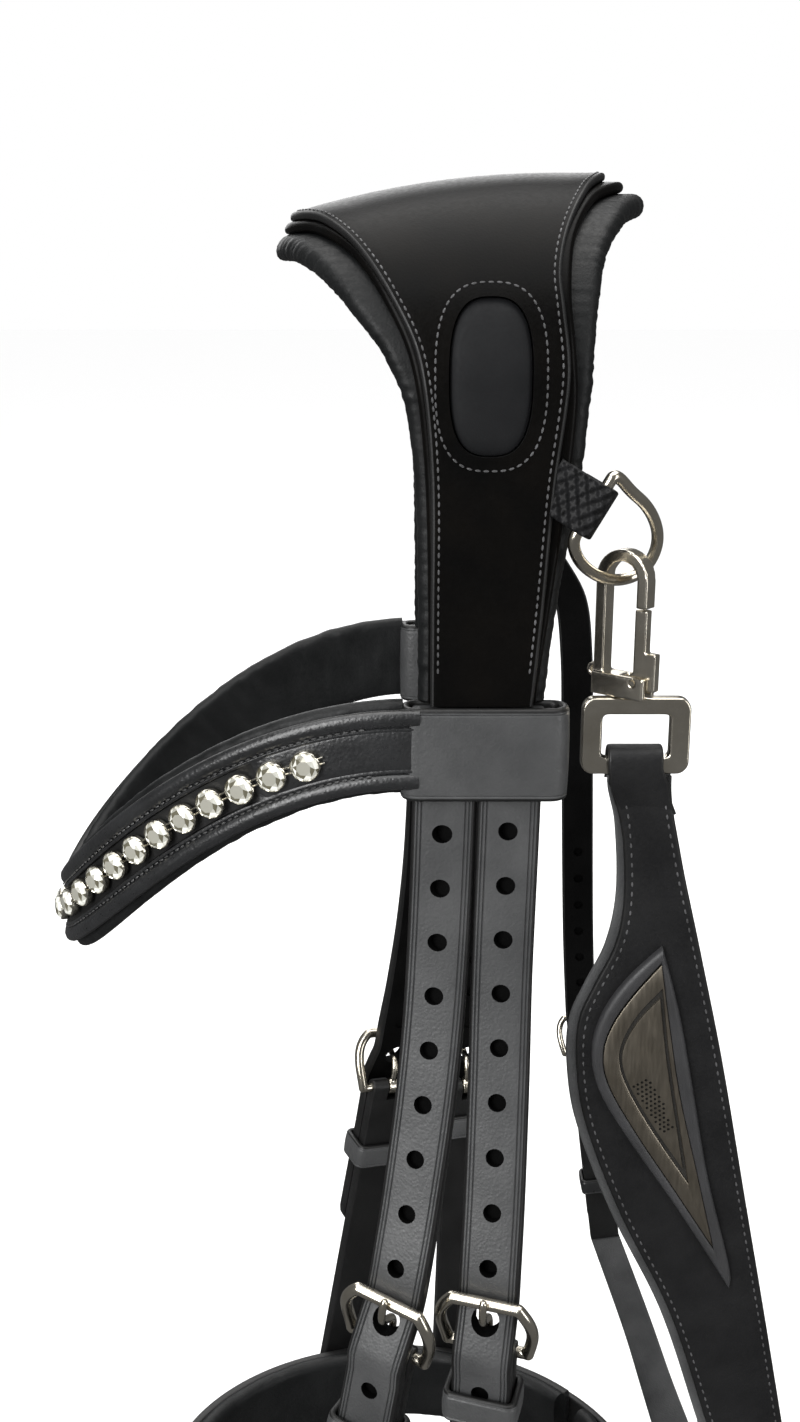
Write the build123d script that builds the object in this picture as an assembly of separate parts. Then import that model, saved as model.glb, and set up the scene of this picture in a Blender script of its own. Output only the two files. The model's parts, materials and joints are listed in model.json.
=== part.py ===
"""Snaffle bridle: headpiece, browband, cheekpieces, noseband and a clip-on throatlash.

Millimetres, +Z up. The horse faces -X and its left (near) side is -Y. The origin is the
middle of the headpiece's underside, the place that rests on the poll or on a bridle hook.
"""
from build123d import *
import math
import os

os.makedirs("parts", exist_ok=True)

# ---------------------------------------------------------------- driving dimensions
ARCH_HALF_WIDTH = 38.0      # inside of the headpiece, from the middle to one side
ARCH_RISE = 45.0            # height of its rounded top
SIDE_SPLAY = 0.03           # how much the sides open on the way down
CREST_CENTRE_X = 25.0       # the crest line is highest here and falls towards the front
CREST_RADIUS = 238.0
CROWN_END = 162.0           # station where the headpiece splits into its billets

PADDING = (0.0, 6.3)        # layers of the headpiece, measured outwards from its underside
ROLL = (6.6, 9.1)
LEATHER = (9.4, 11.6)
POLL_PAD = (6.7, 10.9)
OVAL_CENTRE = (6.6, -38.5)  # X and Z of the oval window
OVAL_HALF = (10.3, 19.0)

BILLET_WIDTH = 16.5
BILLET_THICK = 4.5
STRAP_HOLE_R = 2.5
TONGUE_HOLE_R = 3.4          # the hole that the tongue is through is worn wider
HOLE_PITCH = 15.0
CHEEK_X = 8.2               # half the width of cheekpiece and noseband hanger
BAR_R = 1.6                 # heel bar of a strap buckle
FRAME_R = 1.7               # the buckle's wire
BUCKLE_HALF = 11.4          # centre of a side bar from the middle
HEEL = (-18.0, -4.0)        # heel bar in the buckle's own up and out directions
TOP_BAR_OUT = 2.7           # top bar's centre in front of the billet's face
TONGUE_R = 1.1
PIN_GAP = 0.05              # radial clearance of a running pin

BAND_START_X = -8.0         # browband: half an ellipse in plan
BAND_LENGTH = 108.0
BAND_HALF_WIDTH = 53.4
BAND_TOP_Z = -131.5
BAND_DROOP = 0.0059         # the band hangs lower towards the forehead
BAND_THICK = 2.4
BAND_HALF_HEIGHT = 10.8
BAND_LINING_HALF = 12.6
BAND_LINING_THICK = 4.6
LOOP_Z = (-145.5, -120.5)
LOOP_X = (-15.4, 28.0)
CRYSTAL_COUNT = 23
CRYSTAL_PITCH = 10.3
CUP_R = 4.4
CRYSTAL_R = 3.6

RING_WIRE_R = 1.55
RING_BAR_Y = -50.9
RING_FLAP = 32.0            # the throatlash draws the ring inwards by this angle
THROAT_Y = -41.0            # middle plane of the near throat strap

NOSE_CENTRE_X = -16.0
NOSE_HALF = (76.0, 60.0)    # noseband in plan, inside of the leather
NOSE_Z = -419.0
SIDES = {"near": 1, "far": -1}


# ---------------------------------------------------------------- helpers
def save(name, *solids):
    """Write one node, which may hold several separate solids."""
    shape = solids[0] if len(solids) == 1 else Compound(children=list(solids))
    export_step(shape, f"parts/{name}.step")


def across(side, shape):
    """A near-side shape as it is on one side: far ones are mirrored in the XZ plane."""
    return shape if SIDES[side] == 1 else mirror(shape, about=Plane.XZ)


def smooth(keys, s):
    """Value at s of a smooth curve through the (station, value) pairs in keys."""
    for (s0, v0), (s1, v1) in zip(keys, keys[1:]):
        if s <= s1:
            break
    i = keys.index((s0, v0))
    before = keys[i - 1] if i > 0 else (-s1, v1)
    after = keys[i + 2] if i + 2 < len(keys) else (s1, v1)
    slope0 = (v1 - before[1]) / (s1 - before[0])
    slope1 = (after[1] - v0) / (after[0] - s0)
    span = s1 - s0
    t = min(1.0, max(0.0, (s - s0) / span))
    return (v0 * (1 + 2 * t) * (1 - t) ** 2 + slope0 * span * t * (1 - t) ** 2
            + v1 * t * t * (3 - 2 * t) + slope1 * span * t * t * (t - 1))


def skin(sections):
    """Solid through a row of closed sections, each a list of corner points."""
    wires = [Wire.make_polygon([Vector(*p) for p in points], close=True) for points in sections]
    return Solid.make_loft(wires, ruled=True)


def ribbon(stations):
    """Solid strap through stations of (centre, across, out, half width, inner, outer)."""
    sections = []
    for centre, wide, out, half, inner, outer in stations:
        sections.append([centre + wide * a * half + out * b
                         for a, b in ((-1, inner), (1, inner), (1, outer), (-1, outer))])
    return skin(sections)


def rod(points, radius, closed=False):
    """Round bar along smooth points."""
    line = Spline(*points, periodic=closed)
    start = Plane(origin=line @ 0, z_dir=line % 0)
    return sweep(start * Circle(radius), path=line)


def cylinder_between(a, b, radius):
    a, b = Vector(*a), Vector(*b)
    return extrude(Plane(origin=a, z_dir=b - a) * Circle(radius), amount=(b - a).length)


# ---------------------------------------------------------------- headpiece
def arch(s, off):
    """Point of the near side at station s: degrees down from the crest to 90, then mm."""
    if s <= 90:
        t = math.radians(s)
        ny, nz = math.sin(t) / ARCH_HALF_WIDTH, math.cos(t) / ARCH_RISE
        size = math.hypot(ny, nz)
        y = ARCH_HALF_WIDTH * math.sin(t) + off * ny / size
        return -y, ARCH_RISE * (math.cos(t) - 1) + off * nz / size
    z = -ARCH_RISE - (s - 90)
    return -ARCH_HALF_WIDTH - off - max(0.0, -z - 60) * SIDE_SPLAY, z


def crest_drop(x, s):
    """How far the crest falls towards its front edge, fading out down the sides."""
    fade = max(0.0, math.cos(math.radians(min(s, 90))))
    return fade * min(0.0, x - CREST_CENTRE_X) ** 2 / (2 * CREST_RADIUS)


def crown_layer(front, rear, band, end=CROWN_END):
    """One layer of the headpiece between two edge curves, over the poll and down both sides."""
    down = [0, 10, 20, 30, 40, 50, 60, 70, 80, 90, 104, 120, 140, end]
    sections = []
    for side, s in [(-1, s) for s in reversed(down[1:])] + [(1, s) for s in down]:
        x0, x1 = smooth(front, s), smooth(rear, s)
        xs = [x0 + (x1 - x0) * k / 4 for k in range(5)]
        rows = []
        for off, row in ((band[0], xs), (band[1], reversed(xs))):
            y, z = arch(s, off)
            rows += [(x, side * y, z - crest_drop(x, s)) for x in row]
        sections.append(rows)
    return skin(sections)


PADDING_FRONT = [(0, -48.5), (22, -43), (42, -35), (60, -27), (75, -19.5), (90, -14.5),
                 (110, -11.8), (140, -11), (168, -10.8)]
PADDING_REAR = [(0, 49), (22, 42.5), (42, 36.3), (60, 33.6), (75, 32.5), (90, 31.6),
                (110, 29.7), (140, 24.8), (168, 21.8)]
ROLL_FRONT = [(0, -46.2), (22, -36.8), (42, -26.8), (60, -19.3), (75, -13.8), (90, -11),
              (110, -9.2), (140, -8.4), (168, -8.3)]
ROLL_REAR = [(0, 43.5), (22, 34), (42, 27.8), (60, 26.3), (75, 27.3), (90, 28),
             (110, 26.4), (140, 22.7), (168, 19)]
LEATHER_FRONT = [(0, -44.6), (22, -35.5), (42, -26), (60, -17.9), (75, -12), (90, -9.4),
                 (110, -7.9), (140, -7.8), (168, -7.8)]
LEATHER_REAR = [(0, 38.5), (22, 32), (42, 25.9), (55, 23.8), (65, 24.4), (80, 25.8), (90, 25.3),
                (110, 22.9), (140, 20.7), (168, 18.2)]


def oval(grow):
    """Oval prism through both sides of the headpiece, at the window."""
    sketch = Plane.XZ * Pos(*OVAL_CENTRE) * Ellipse(OVAL_HALF[0] + grow, OVAL_HALF[1] + grow)
    return extrude(sketch, amount=80, both=True)


def headpiece():
    window = oval(0.0)
    save("crown_padding", crown_layer(PADDING_FRONT, PADDING_REAR, PADDING))
    save("crown_edge_roll", crown_layer(ROLL_FRONT, ROLL_REAR, ROLL) - window)
    save("crown_leather", crown_layer(LEATHER_FRONT, LEATHER_REAR, LEATHER) - window)
    pads = crown_layer(LEATHER_FRONT, LEATHER_REAR, POLL_PAD) & oval(-0.4)
    for side, toward in (("near", -1), ("far", 1)):
        save(f"{side}_poll_pad", [s for s in pads.solids() if s.center().Y * toward > 0][0])


# ---------------------------------------------------------------- strap frames and buckles
def strap_frame(origin, lean, turn):
    """Plane on a hanging strap's face: x to the horse's rear, y up the strap, z outwards."""
    up = Vector(*lean).normalized()
    out = Vector(-math.sin(math.radians(turn)), -math.cos(math.radians(turn)), 0)
    out = (out - up * out.dot(up)).normalized()
    return Plane(origin=origin, x_dir=up.cross(out), z_dir=out)


# Each strap: the frame of its buckle, the size of the buckle beside a cheek buckle, the
# billet's centres and turns above the buckle, and where the tail's keeper and end are.
CHEEK = {"frame": strap_frame((-17.6, -73.0, -281.0), (0.17, -0.02, 1), 27.0), "k": 1.0,
         "keeper": -45.0, "tail": -72.0, "length": 172.0,
         "top": [(-4.05, -50.3, -118.4, 1), (-4.1, -50.3, -147, 2), (-6.0, -54.0, -195, 9),
                 (-8.7, -59.8, -225, 15), (-13.0, -67.4, -255, 21)]}
HANGER = {"frame": strap_frame((8.2, -73.0, -281.0), (0.03, 0.0, 1), 16.0), "k": 1.0,
          "keeper": -33.0, "tail": -72.0, "length": 150.0,
          "top": [(13.2, -50.3, -118.4, 1), (13.0, -50.3, -147, 1), (11.6, -54.0, -195, 6),
                  (10.8, -59.8, -225, 10), (9.6, -67.4, -255, 13)]}
STRAPS = {"cheek": CHEEK, "noseband": HANGER}

# the billet's outer face in the buckle's frame: distance up the strap, distance out
BILLET_RUN = [(6, 0), (-2.4, 0), (-6, 1.3), (-12, 3.5), (-18, 5.2), (-24, 3.6)]
TAIL_OUT = 3.6
TONGUE_HOLE_UP = -6.0
TONGUE_LINE = [(-15.4, -4.4), (-11.5, -4.6), (-8.4, -3.2), (-6.2, 0.6), (-4.2, 4.4), (-1.2, 5.7),
               (2.4, 5.6)]
LOWER_THICK = 4.6


def placed(strap, shape):
    """A shape drawn at cheek-buckle size in the buckle's frame, at the strap's own size."""
    return strap["frame"] * scale(shape, by=strap["k"])


def billet_stations(strap):
    plane, k = strap["frame"], strap["k"]
    half, thick = BILLET_WIDTH / 2 * k, BILLET_THICK * k
    stations = []
    for x, y, z, turn in strap["top"]:
        here = strap_frame((x, y, z), strap.get("top_lean", (0, 0, 1)), turn)
        stations.append((here.origin, here.x_dir, here.z_dir, half, -thick, 0))
    for up, out in [(u * k, o * k) for u, o in BILLET_RUN] + [(strap["tail"], TAIL_OUT * k)]:
        centre = plane.origin + plane.y_dir * up
        stations.append((centre, plane.x_dir, plane.z_dir, half, out - thick, out))
    tip = plane.origin + plane.y_dir * (strap["tail"] - 7 * k)
    out = TAIL_OUT * k
    stations.append((tip, plane.x_dir, plane.z_dir, half * 0.3, out - thick, out))
    return stations


def punched_holes(strap, pitch, lowest_z):
    """Holes up the middle of the billet, from the buckle to just below what holds its top."""
    plane, k = strap["frame"], strap["k"]
    punch = Cylinder(STRAP_HOLE_R * k, 14 * k)
    holes = [plane * Pos(0, TONGUE_HOLE_UP * k, 0) * Cylinder(TONGUE_HOLE_R * k, 40 * k),
             plane * Pos(0, (TONGUE_HOLE_UP - 22) * k, TAIL_OUT * k) * punch]
    points = [Vector(*p[:3]) for p in strap["top"]] + [plane.origin]
    reach, walked = pitch * 0.6, 0.0
    for below, above in zip(reversed(points), reversed(points[:-1])):
        run = (above - below).length
        while reach - walked < run:
            spot = below + (above - below) * ((reach - walked) / run)
            if spot.Z > lowest_z:
                return holes
            across_x = plane.x_dir - (above - below).normalized() * plane.x_dir.dot(
                (above - below).normalized())
            place = Plane(origin=spot, x_dir=across_x, z_dir=across_x.cross(above - below))
            holes.append(place * punch)
            reach += pitch
        walked += run
    return holes


def billet(strap, pitch=HOLE_PITCH, lowest_z=LOOP_Z[0] - 5):
    """Punched strap end that comes from above and passes through its buckle."""
    return ribbon(billet_stations(strap)) - punched_holes(strap, pitch, lowest_z)


def strap_buckle(strap):
    """Bowed buckle frame with its heel bar, as one bent and brazed wire."""
    up, out = HEEL
    x = BUCKLE_HALF
    side = [(x, up, out), (x + 1.2, up * 0.66, out * 0.55 + 0.4), (x + 0.9, up * 0.25, 1.6),
            (x - 2.2, 0.4, TOP_BAR_OUT)]
    right = rod(side, FRAME_R)
    left = mirror(right, about=Plane.YZ)
    top = cylinder_between((-x + 2.2, 0.4, TOP_BAR_OUT), (x - 2.2, 0.4, TOP_BAR_OUT), FRAME_R)
    heel = cylinder_between((-x, up, out), (x, up, out), BAR_R)
    corners = [Pos(sx * (x - 2.2), 0.4, TOP_BAR_OUT) * Sphere(FRAME_R) for sx in (-1, 1)]
    ends = [Pos(sx * x, up, out) * Sphere(FRAME_R) for sx in (-1, 1)]
    return placed(strap, top + heel + [right, left] + corners + ends)


def strap_tongue(strap):
    """Tongue that turns on the heel bar, passes up through the billet and rests on the bar."""
    up, out = HEEL
    eye = Pos(0, up, out) * Rot(0, 90, 0) * Cylinder(BAR_R + 1.3, 3.4)
    pin = rod([(0, u, o) for u, o in TONGUE_LINE], TONGUE_R)
    tip = Pos(0, *TONGUE_LINE[-1]) * Sphere(TONGUE_R)
    bore = Pos(0, up, out) * Rot(0, 90, 0) * Cylinder(BAR_R + PIN_GAP, 5)
    return placed(strap, eye + pin + tip - bore)


def lower_strap(strap, bit_loop=False):
    """Doubled strap below the buckle: folded round the heel bar, and round the bit if it has one."""
    up, out = HEEL
    length = strap["length"] / strap["k"]
    body = Pos(0, (up - length) / 2, out) * Box(2 * CHEEK_X, length + up, LOWER_THICK)
    body = body + Pos(0, up, out) * Rot(0, 90, 0) * Cylinder(BAR_R + 1.4, 2 * CHEEK_X)
    body = body - Pos(0, up, out) * Rot(0, 90, 0) * Cylinder(BAR_R + 0.08, 60)
    body = body - Pos(0, up, out) * Box(4.4, 9.0, 20)
    if bit_loop:
        body = body + Pos(0, -length - BIT_DROP + 3, out) * bit_eye()
    return placed(strap, body)


BIT_R = 5.0
BIT_WALL = 3.4
BIT_DROP = 18.0


def bit_eye():
    """Strap end folded back round the bit ring, as a drop-shaped loop."""
    outer = make_hull(Circle(BIT_R + BIT_WALL).edges() + (Pos(BIT_DROP, 0) * Circle(2.3)).edges())
    inner = make_hull(Circle(BIT_R).edges() + (Pos(BIT_DROP - 7.5, 0) * Circle(0.8)).edges())
    return extrude(Plane.YZ * (outer - inner), amount=CHEEK_X, both=True)


def keeper(strap):
    """Leather loop round the strap and the billet's tail, free to slide on them."""
    wall, height, ease = 1.7, 9.0, 0.35
    low, high = HEEL[1] - LOWER_THICK / 2 - ease, TAIL_OUT + ease
    half = BILLET_WIDTH / 2 + ease
    place = Pos(0, strap["keeper"] / strap["k"], (low + high) / 2)
    ring = Box(2 * (half + wall), height, high - low + 2 * wall) - Box(2 * half, height + 2, high - low)
    return placed(strap, place * ring)


def bit_stud(strap):
    """Round-headed stud that closes the bit loop."""
    low = (Align.CENTER, Align.CENTER, Align.MIN)
    head = Cylinder(3.2, 1.2, align=low) + Pos(0, 0, 1.2) * Cone(2.6, 1.4, 1.4, align=low)
    return placed(strap, Pos(0, -strap["length"] + 10, HEEL[1] + LOWER_THICK / 2 + 0.1) * head)


def straps_and_buckles():
    for side in SIDES:
        for name, strap in STRAPS.items():
            save(f"{side}_{name}_billet", across(side, billet(strap)))
            save(f"{side}_{name}_buckle", across(side, strap_buckle(strap)))
            save(f"{side}_{name}_tongue", across(side, strap_tongue(strap)))
            save(f"{side}_{name}_strap", across(side, lower_strap(strap, name == "cheek")))
            save(f"{side}_{name}_keeper", across(side, keeper(strap)))
        save(f"{side}_bit_stud", across(side, bit_stud(CHEEK)))


# ---------------------------------------------------------------- browband
def band_point(t):
    """Centre line of the browband's outer face: t is -90 at the near loop, 90 at the far one."""
    a = math.radians(t)
    x = BAND_START_X - BAND_LENGTH * math.cos(a)
    y = BAND_HALF_WIDTH * math.sin(a)
    return Vector(x, y, BAND_TOP_Z - BAND_DROOP * (x + 12) ** 2)


def band_frame(t):
    """Place, direction along the band, its own up direction, and outwards."""
    along = (band_point(t + 0.1) - band_point(t - 0.1)).normalized()
    out = Vector(along.Y, -along.X, 0).normalized() * -1
    return band_point(t), along, out.cross(along) * -1, out


def band(half, inner, outer, limit, steps=36):
    stations = []
    for i in range(steps + 1):
        place, along, up, out = band_frame(-limit + 2 * limit * i / steps)
        stations.append((place, up, out, half, inner, outer))
    return ribbon(stations)


def band_stations_by_length(count, pitch):
    """Angles of points evenly spaced along the band, centred on the forehead."""
    wanted = [pitch * k for k in range(count // 2 + 1)]
    found, walked, t = [0.0], 0.0, 0.0
    while len(found) < len(wanted):
        walked += (band_point(t + 0.1) - band_point(t)).length
        t += 0.1
        if walked >= wanted[len(found)]:
            found.append(t)
    return [-a for a in reversed(found[1:])] + found


def browband():
    leather = band(BAND_HALF_HEIGHT, -BAND_THICK, 0, 86.4)
    z0, z1 = LOOP_Z
    x0, x1 = LOOP_X
    wall = BAND_THICK
    y_out, y_in = -BAND_HALF_WIDTH, -42.9
    outer = Pos((x0 + x1) / 2, (y_out + y_in) / 2, (z0 + z1) / 2) * Box(x1 - x0, y_in - y_out, z1 - z0)
    inner = Pos((x0 + x1) / 2, (y_out + y_in) / 2, (z0 + z1) / 2) * Box(
        x1 - x0 - 2 * wall + 0.4, y_in - y_out - 2 * wall + 0.4, z1 - z0 + 4)
    loop = fillet(outer.edges().filter_by(Axis.Z), 2.2) - inner
    save("browband_leather", leather + loop + mirror(loop, about=Plane.XZ))
    save("browband_lining", band(BAND_LINING_HALF, -BAND_THICK - 0.2 - BAND_LINING_THICK,
                                 -BAND_THICK - 0.2, 83.5))
    cups, stones = [], []
    for t in band_stations_by_length(CRYSTAL_COUNT, CRYSTAL_PITCH):
        place, along, up, out = band_frame(t)
        seat = Plane(origin=place, x_dir=along, z_dir=out)
        cups.append(seat * Pos(0, 0, 1.25) * (Cylinder(CUP_R, 2.2) - Pos(0, 0, 0.6) * Cylinder(
            CRYSTAL_R + 0.1, 2.2)))
        stones.append(seat * Pos(0, 0, 0.95) * (Cylinder(CRYSTAL_R, 1.4, align=(Align.CENTER,
                      Align.CENTER, Align.MIN)) + Pos(0, 0, 1.4) * Cone(CRYSTAL_R, 2.2, 1.0,
                      align=(Align.CENTER, Align.CENTER, Align.MIN))))
    save("crystal_cups", *cups)
    save("crystals", *stones)


# ---------------------------------------------------------------- ring, snap and throatlash
RING_BAR = ((27.6, -77.4), (36.2, -62.6))
RING_BOW = [(28.3, -81.2), (32.6, -86.4), (40.5, -89.6), (47.2, -87.6), (50.3, -82.0),
            (49.0, -74.2), (45.2, -69.0), (40.8, -65.0)]
SNAP_TURN = -40.0           # the snap's gate side is turned outwards
GATE_PIVOT = (6.4, -26.0)
GATE_PIN_R = 0.8
EYE_SIZE = (28.6, 21.0)
EYE_BAR = 4.6
EYE_THICK = 3.6
THROAT_PLY = 2.0


def ring_point(x, z):
    """The ring's plane leans from its straight bar: its point at X and Z."""
    (x0, z0), (x1, z1) = RING_BAR
    size = math.hypot(x1 - x0, z1 - z0)
    away = ((x - x0) * (z1 - z0) - (z - z0) * (x1 - x0)) / size
    return Vector(x, RING_BAR_Y + away * math.tan(math.radians(RING_FLAP)), z)


def ring_line():
    (x0, z0), (x1, z1) = RING_BAR
    bar = [(x1 + (x0 - x1) * t, z1 + (z0 - z1) * t) for t in (0.0, 0.33, 0.67, 1.0)]
    return Spline(*[ring_point(*p) for p in bar + RING_BOW], periodic=True)


def ring_low():
    """Lowest point of the ring's wire centre line, where the snap hangs."""
    line = ring_line()
    return min((line @ (k / 200) for k in range(201)), key=lambda p: p.Z)


def ring():
    """Bent wire ring with a straight bar."""
    line = ring_line()
    return sweep(Plane(origin=line @ 0, z_dir=line % 0) * Circle(RING_WIRE_R), path=line)


def webbing_tab():
    """Woven tab folded round the ring's straight bar, sewn under the leather's rear edge."""
    a, b = ring_point(*RING_BAR[0]), ring_point(*RING_BAR[1])
    frame = Plane(origin=(a + b) * 0.5, x_dir=a - b, z_dir=(0, -1, 0))
    wide = 11.0
    fold = Rot(0, 90, 0) * Cylinder(RING_WIRE_R + 1.9, wide)
    leaf = Pos(0, -4.6, 2.4) * Box(wide, 9.2, 1.9)
    hole = Rot(0, 90, 0) * Cylinder(RING_WIRE_R + 0.5, wide + 4)
    return frame * (fold + leaf - hole)


def snap_frame():
    turn = math.radians(SNAP_TURN)
    return Plane(origin=ring_low(), x_dir=(math.cos(turn), math.sin(turn), 0),
                 z_dir=(math.sin(turn), -math.cos(turn), 0))


def box2(x0, y0, x1, y1):
    return Pos((x0 + x1) / 2, (y0 + y1) / 2) * Rectangle(x1 - x0, y1 - y0)


def snap_body():
    """Trigger snap: hook, spine and socket in one casting, slotted for its gate."""
    bend = Pos(1.6, 0.6)
    hook = bend * Circle(7.6) + box2(-6.0, -28, -2.9, 0.6) + box2(6.1, -6.5, 9.2, 0.6)
    hook = hook - make_hull((bend * Circle(4.5)).edges() + (Pos(1.6, -12) * Circle(4.5)).edges())
    blade = extrude(hook, amount=2.2, both=True)
    base = extrude(box2(-6.0, -30.5, 9.8, -24.5), amount=3.1, both=True)
    slot = extrude(box2(2.6, -32, 14, -20), amount=1.55, both=True)
    eyelet = Pos(-6.4, -24.5) * (Cylinder(2.0, 3.0) - Cylinder(0.9, 4))
    bore = Pos(*GATE_PIVOT) * Cylinder(GATE_PIN_R, 12)
    return snap_frame() * (blade + base + eyelet - slot - bore)


def snap_gate():
    """Sprung gate with its thumb lever; it turns inwards on its pin."""
    px, py = GATE_PIVOT
    lever = box2(5.5, -26, 9.0, -6.9) + Pos(px, py) * Circle(2.6) + box2(7.0, -28, 12.0, -18)
    gate = extrude(lever, amount=1.3, both=True) - Pos(px, py) * Cylinder(GATE_PIN_R + PIN_GAP, 12)
    return snap_frame() * gate


def snap_pin():
    return snap_frame() * Pos(*GATE_PIVOT) * Cylinder(GATE_PIN_R, 6.2)


def eye_centre():
    low = ring_low()
    return Vector(low.X + 5.4, THROAT_Y, low.Z - 30.8 - EYE_SIZE[1] / 2)


def snap_eye():
    """Rectangular eye that carries the throat strap, hung from the snap's neck."""
    wide, high = EYE_SIZE
    outer = fillet(Rectangle(wide, high).vertices(), 3.4)
    inner = fillet(Rectangle(wide - 2 * EYE_BAR - 1.6, high - 2 * EYE_BAR).vertices(), 1.2)
    plate = extrude(outer - inner, amount=EYE_THICK / 2, both=True)
    return Plane(origin=eye_centre(), x_dir=(1, 0, 0), z_dir=(0, -1, 0)) * plate


THROAT_FRONT = [(39.6, -143), (42.0, -155), (43.2, -176), (40.8, -191), (35.6, -203),
                (31.8, -213), (31.3, -226), (34.3, -245), (45.4, -275), (61.6, -309), (75.0, -349)]
THROAT_REAR = [(56.6, -143), (59.9, -163), (66.9, -192), (75.0, -226), (84.4, -271),
               (92.8, -311), (100.6, -349)]
THROAT = {"frame": strap_frame((47.5, -50.0, -262.0), (-0.13, 0, 1), 0.0), "k": 0.62,
          "keeper": -64.0, "tail": -78.0, "length": 86.0, "top_lean": (-0.05, 0, 1),
          "top": [(30.0, -47.9, -97, 0), (38.6, -50.0, -112, 0), (41.3, -50.0, -130, 0),
                  (42.4, -50.0, -155, 0), (45.0, -50.0, -225, 0)]}
# the strap's way under the jaw: centre and half width
THROAT_WAY = [((87.8, -41, -349), 12.8), ((93, -40, -382), 12.2), ((97, -34, -414), 11.2),
              ((99, -20, -438), 10.2), ((98, 0, -450), 9.0), ((94, 20, -445), 8.0),
              ((88, 34, -431), 7.0), ((80, 42, -409), 6.0), ((72, 46, -385), 5.4)]


def throat_ply(out):
    """One ply of the shaped strap, from its neck under the eye to below the badge."""
    sides = [Spline(*[(x, -z) for x, z in THROAT_FRONT]), Spline(*[(x, -z) for x, z in THROAT_REAR])]
    ends = [Line(sides[0] @ t, sides[1] @ t) for t in (0, 1)]
    face = make_face([sides[0], ends[1], sides[1], ends[0]])
    low, high = out
    plane = Plane(origin=(0, THROAT_Y - low, 0), x_dir=(1, 0, 0), z_dir=(0, -1, 0))
    flat = mirror(face, about=Plane.XZ)
    return extrude(plane * flat, amount=high - low)


def throat_run(out):
    """The same ply on its way under the jaw and up to the far buckle."""
    lower = THROAT["frame"]
    end = lower.origin + lower.y_dir * -(THROAT["length"] + 0.3) + lower.z_dir * (HEEL[1] * THROAT["k"])
    last = Vector(end.X, -end.Y, end.Z)
    way = [(Vector(*p), half) for p, half in THROAT_WAY] + [(last, CHEEK_X * THROAT["k"])]
    stations = []
    for i, (here, half) in enumerate(way):
        before, after = way[max(0, i - 1)][0], way[min(len(way) - 1, i + 1)][0]
        along = (after - before).normalized()
        if i == 0:
            along = Vector(0, 0, -1)
        if i == len(way) - 1:
            along = Vector(-lower.y_dir.X, lower.y_dir.Y, -lower.y_dir.Z) * -1
        wide = (Vector(1, 0, 0) - along * along.X).normalized()
        stations.append((here, wide, along.cross(wide), half, out[0], out[1]))
    return ribbon(stations)


def throatlash():
    eye = eye_centre()
    bar_z = eye.Z - EYE_SIZE[1] / 2 + EYE_BAR / 2
    wrap = Pos(eye.X, THROAT_Y, bar_z - 0.4) * Box(14.6, EYE_THICK + 4.6, EYE_BAR + 4.6)
    wrap = fillet(wrap.edges().filter_by(Axis.X), 2.6)
    wrap = wrap - Pos(eye.X, THROAT_Y, bar_z) * Box(30, EYE_THICK + 0.5, EYE_BAR + 0.5)
    top = Pos(eye.X, THROAT_Y, -141) * Box(14.6, 2 * THROAT_PLY + 0.1, 7)
    top = top - Pos(eye.X, THROAT_Y, bar_z) * Box(30, EYE_THICK + 0.5, EYE_BAR + 0.5)
    outer = (0.05, THROAT_PLY)
    strap = throat_ply(outer) + wrap + top + throat_run(outer)
    lining = throat_ply((-THROAT_PLY, -0.05)) - (wrap + top) + throat_run((-THROAT_PLY, -0.05))
    save("throat_strap", strap)
    save("throat_lining", max(lining.solids(), key=lambda s: s.volume))
    save("throat_buckle_strap", across("far", lower_strap(THROAT)))
    save("throat_buckle", across("far", strap_buckle(THROAT)))
    save("throat_tongue", across("far", strap_tongue(THROAT)))
    save("throat_keeper", across("far", keeper(THROAT)))
    save("throat_billet", across("far", billet(THROAT, pitch=9.6, lowest_z=-196)))
    save("near_ring", ring())
    save("near_webbing_tab", webbing_tab())
    save("snap_body", snap_body())
    save("snap_gate", snap_gate())
    save("snap_pin", snap_pin())
    save("snap_eye", snap_eye())


# ---------------------------------------------------------------- badge
BEZEL = [(56.2, -190.5), (47.1, -200.0), (40.6, -210.5), (38.0, -222.0), (40.5, -234.5),
         (50.0, -251.0), (64.0, -272.0), (81.0, -299.5), (80.6, -292.0), (72.6, -262.0),
         (66.4, -231.7), (61.6, -209.4)]
PLATE = [(56.0, -195.0), (48.6, -204.5), (43.2, -213.6), (41.0, -222.5), (43.0, -232.6),
         (51.6, -248.2), (63.0, -266.0), (75.4, -285.6), (69.4, -261.0), (63.2, -236.0),
         (59.4, -215.5)]


def outline(points):
    """Closed smooth outline through points in X and Z, with a sharp tip at the lowest one."""
    tip = min(range(len(points)), key=lambda i: points[i][1])
    turned = points[tip:] + points[:tip + 1]
    return make_face([Spline(*turned)])


def badge():
    front = THROAT_Y - THROAT_PLY
    bezel_plane = Plane(origin=(0, front - 0.1, 0), x_dir=(1, 0, 0), z_dir=(0, -1, 0))
    bezel = extrude(bezel_plane * outline(BEZEL), amount=2.4)
    pocket_plane = Plane(origin=(0, front - 1.3, 0), x_dir=(1, 0, 0), z_dir=(0, -1, 0))
    plate_face = outline(PLATE)
    bezel = bezel - extrude(pocket_plane * plate_face, amount=4)
    plate_plane = Plane(origin=(0, front - 1.4, 0), x_dir=(1, 0, 0), z_dir=(0, -1, 0))
    plate = extrude(plate_plane * scale(plate_face, by=0.985, about=plate_face.center()), amount=1.8)
    save("badge_bezel", bezel)
    save("badge_plate", plate)


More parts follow.
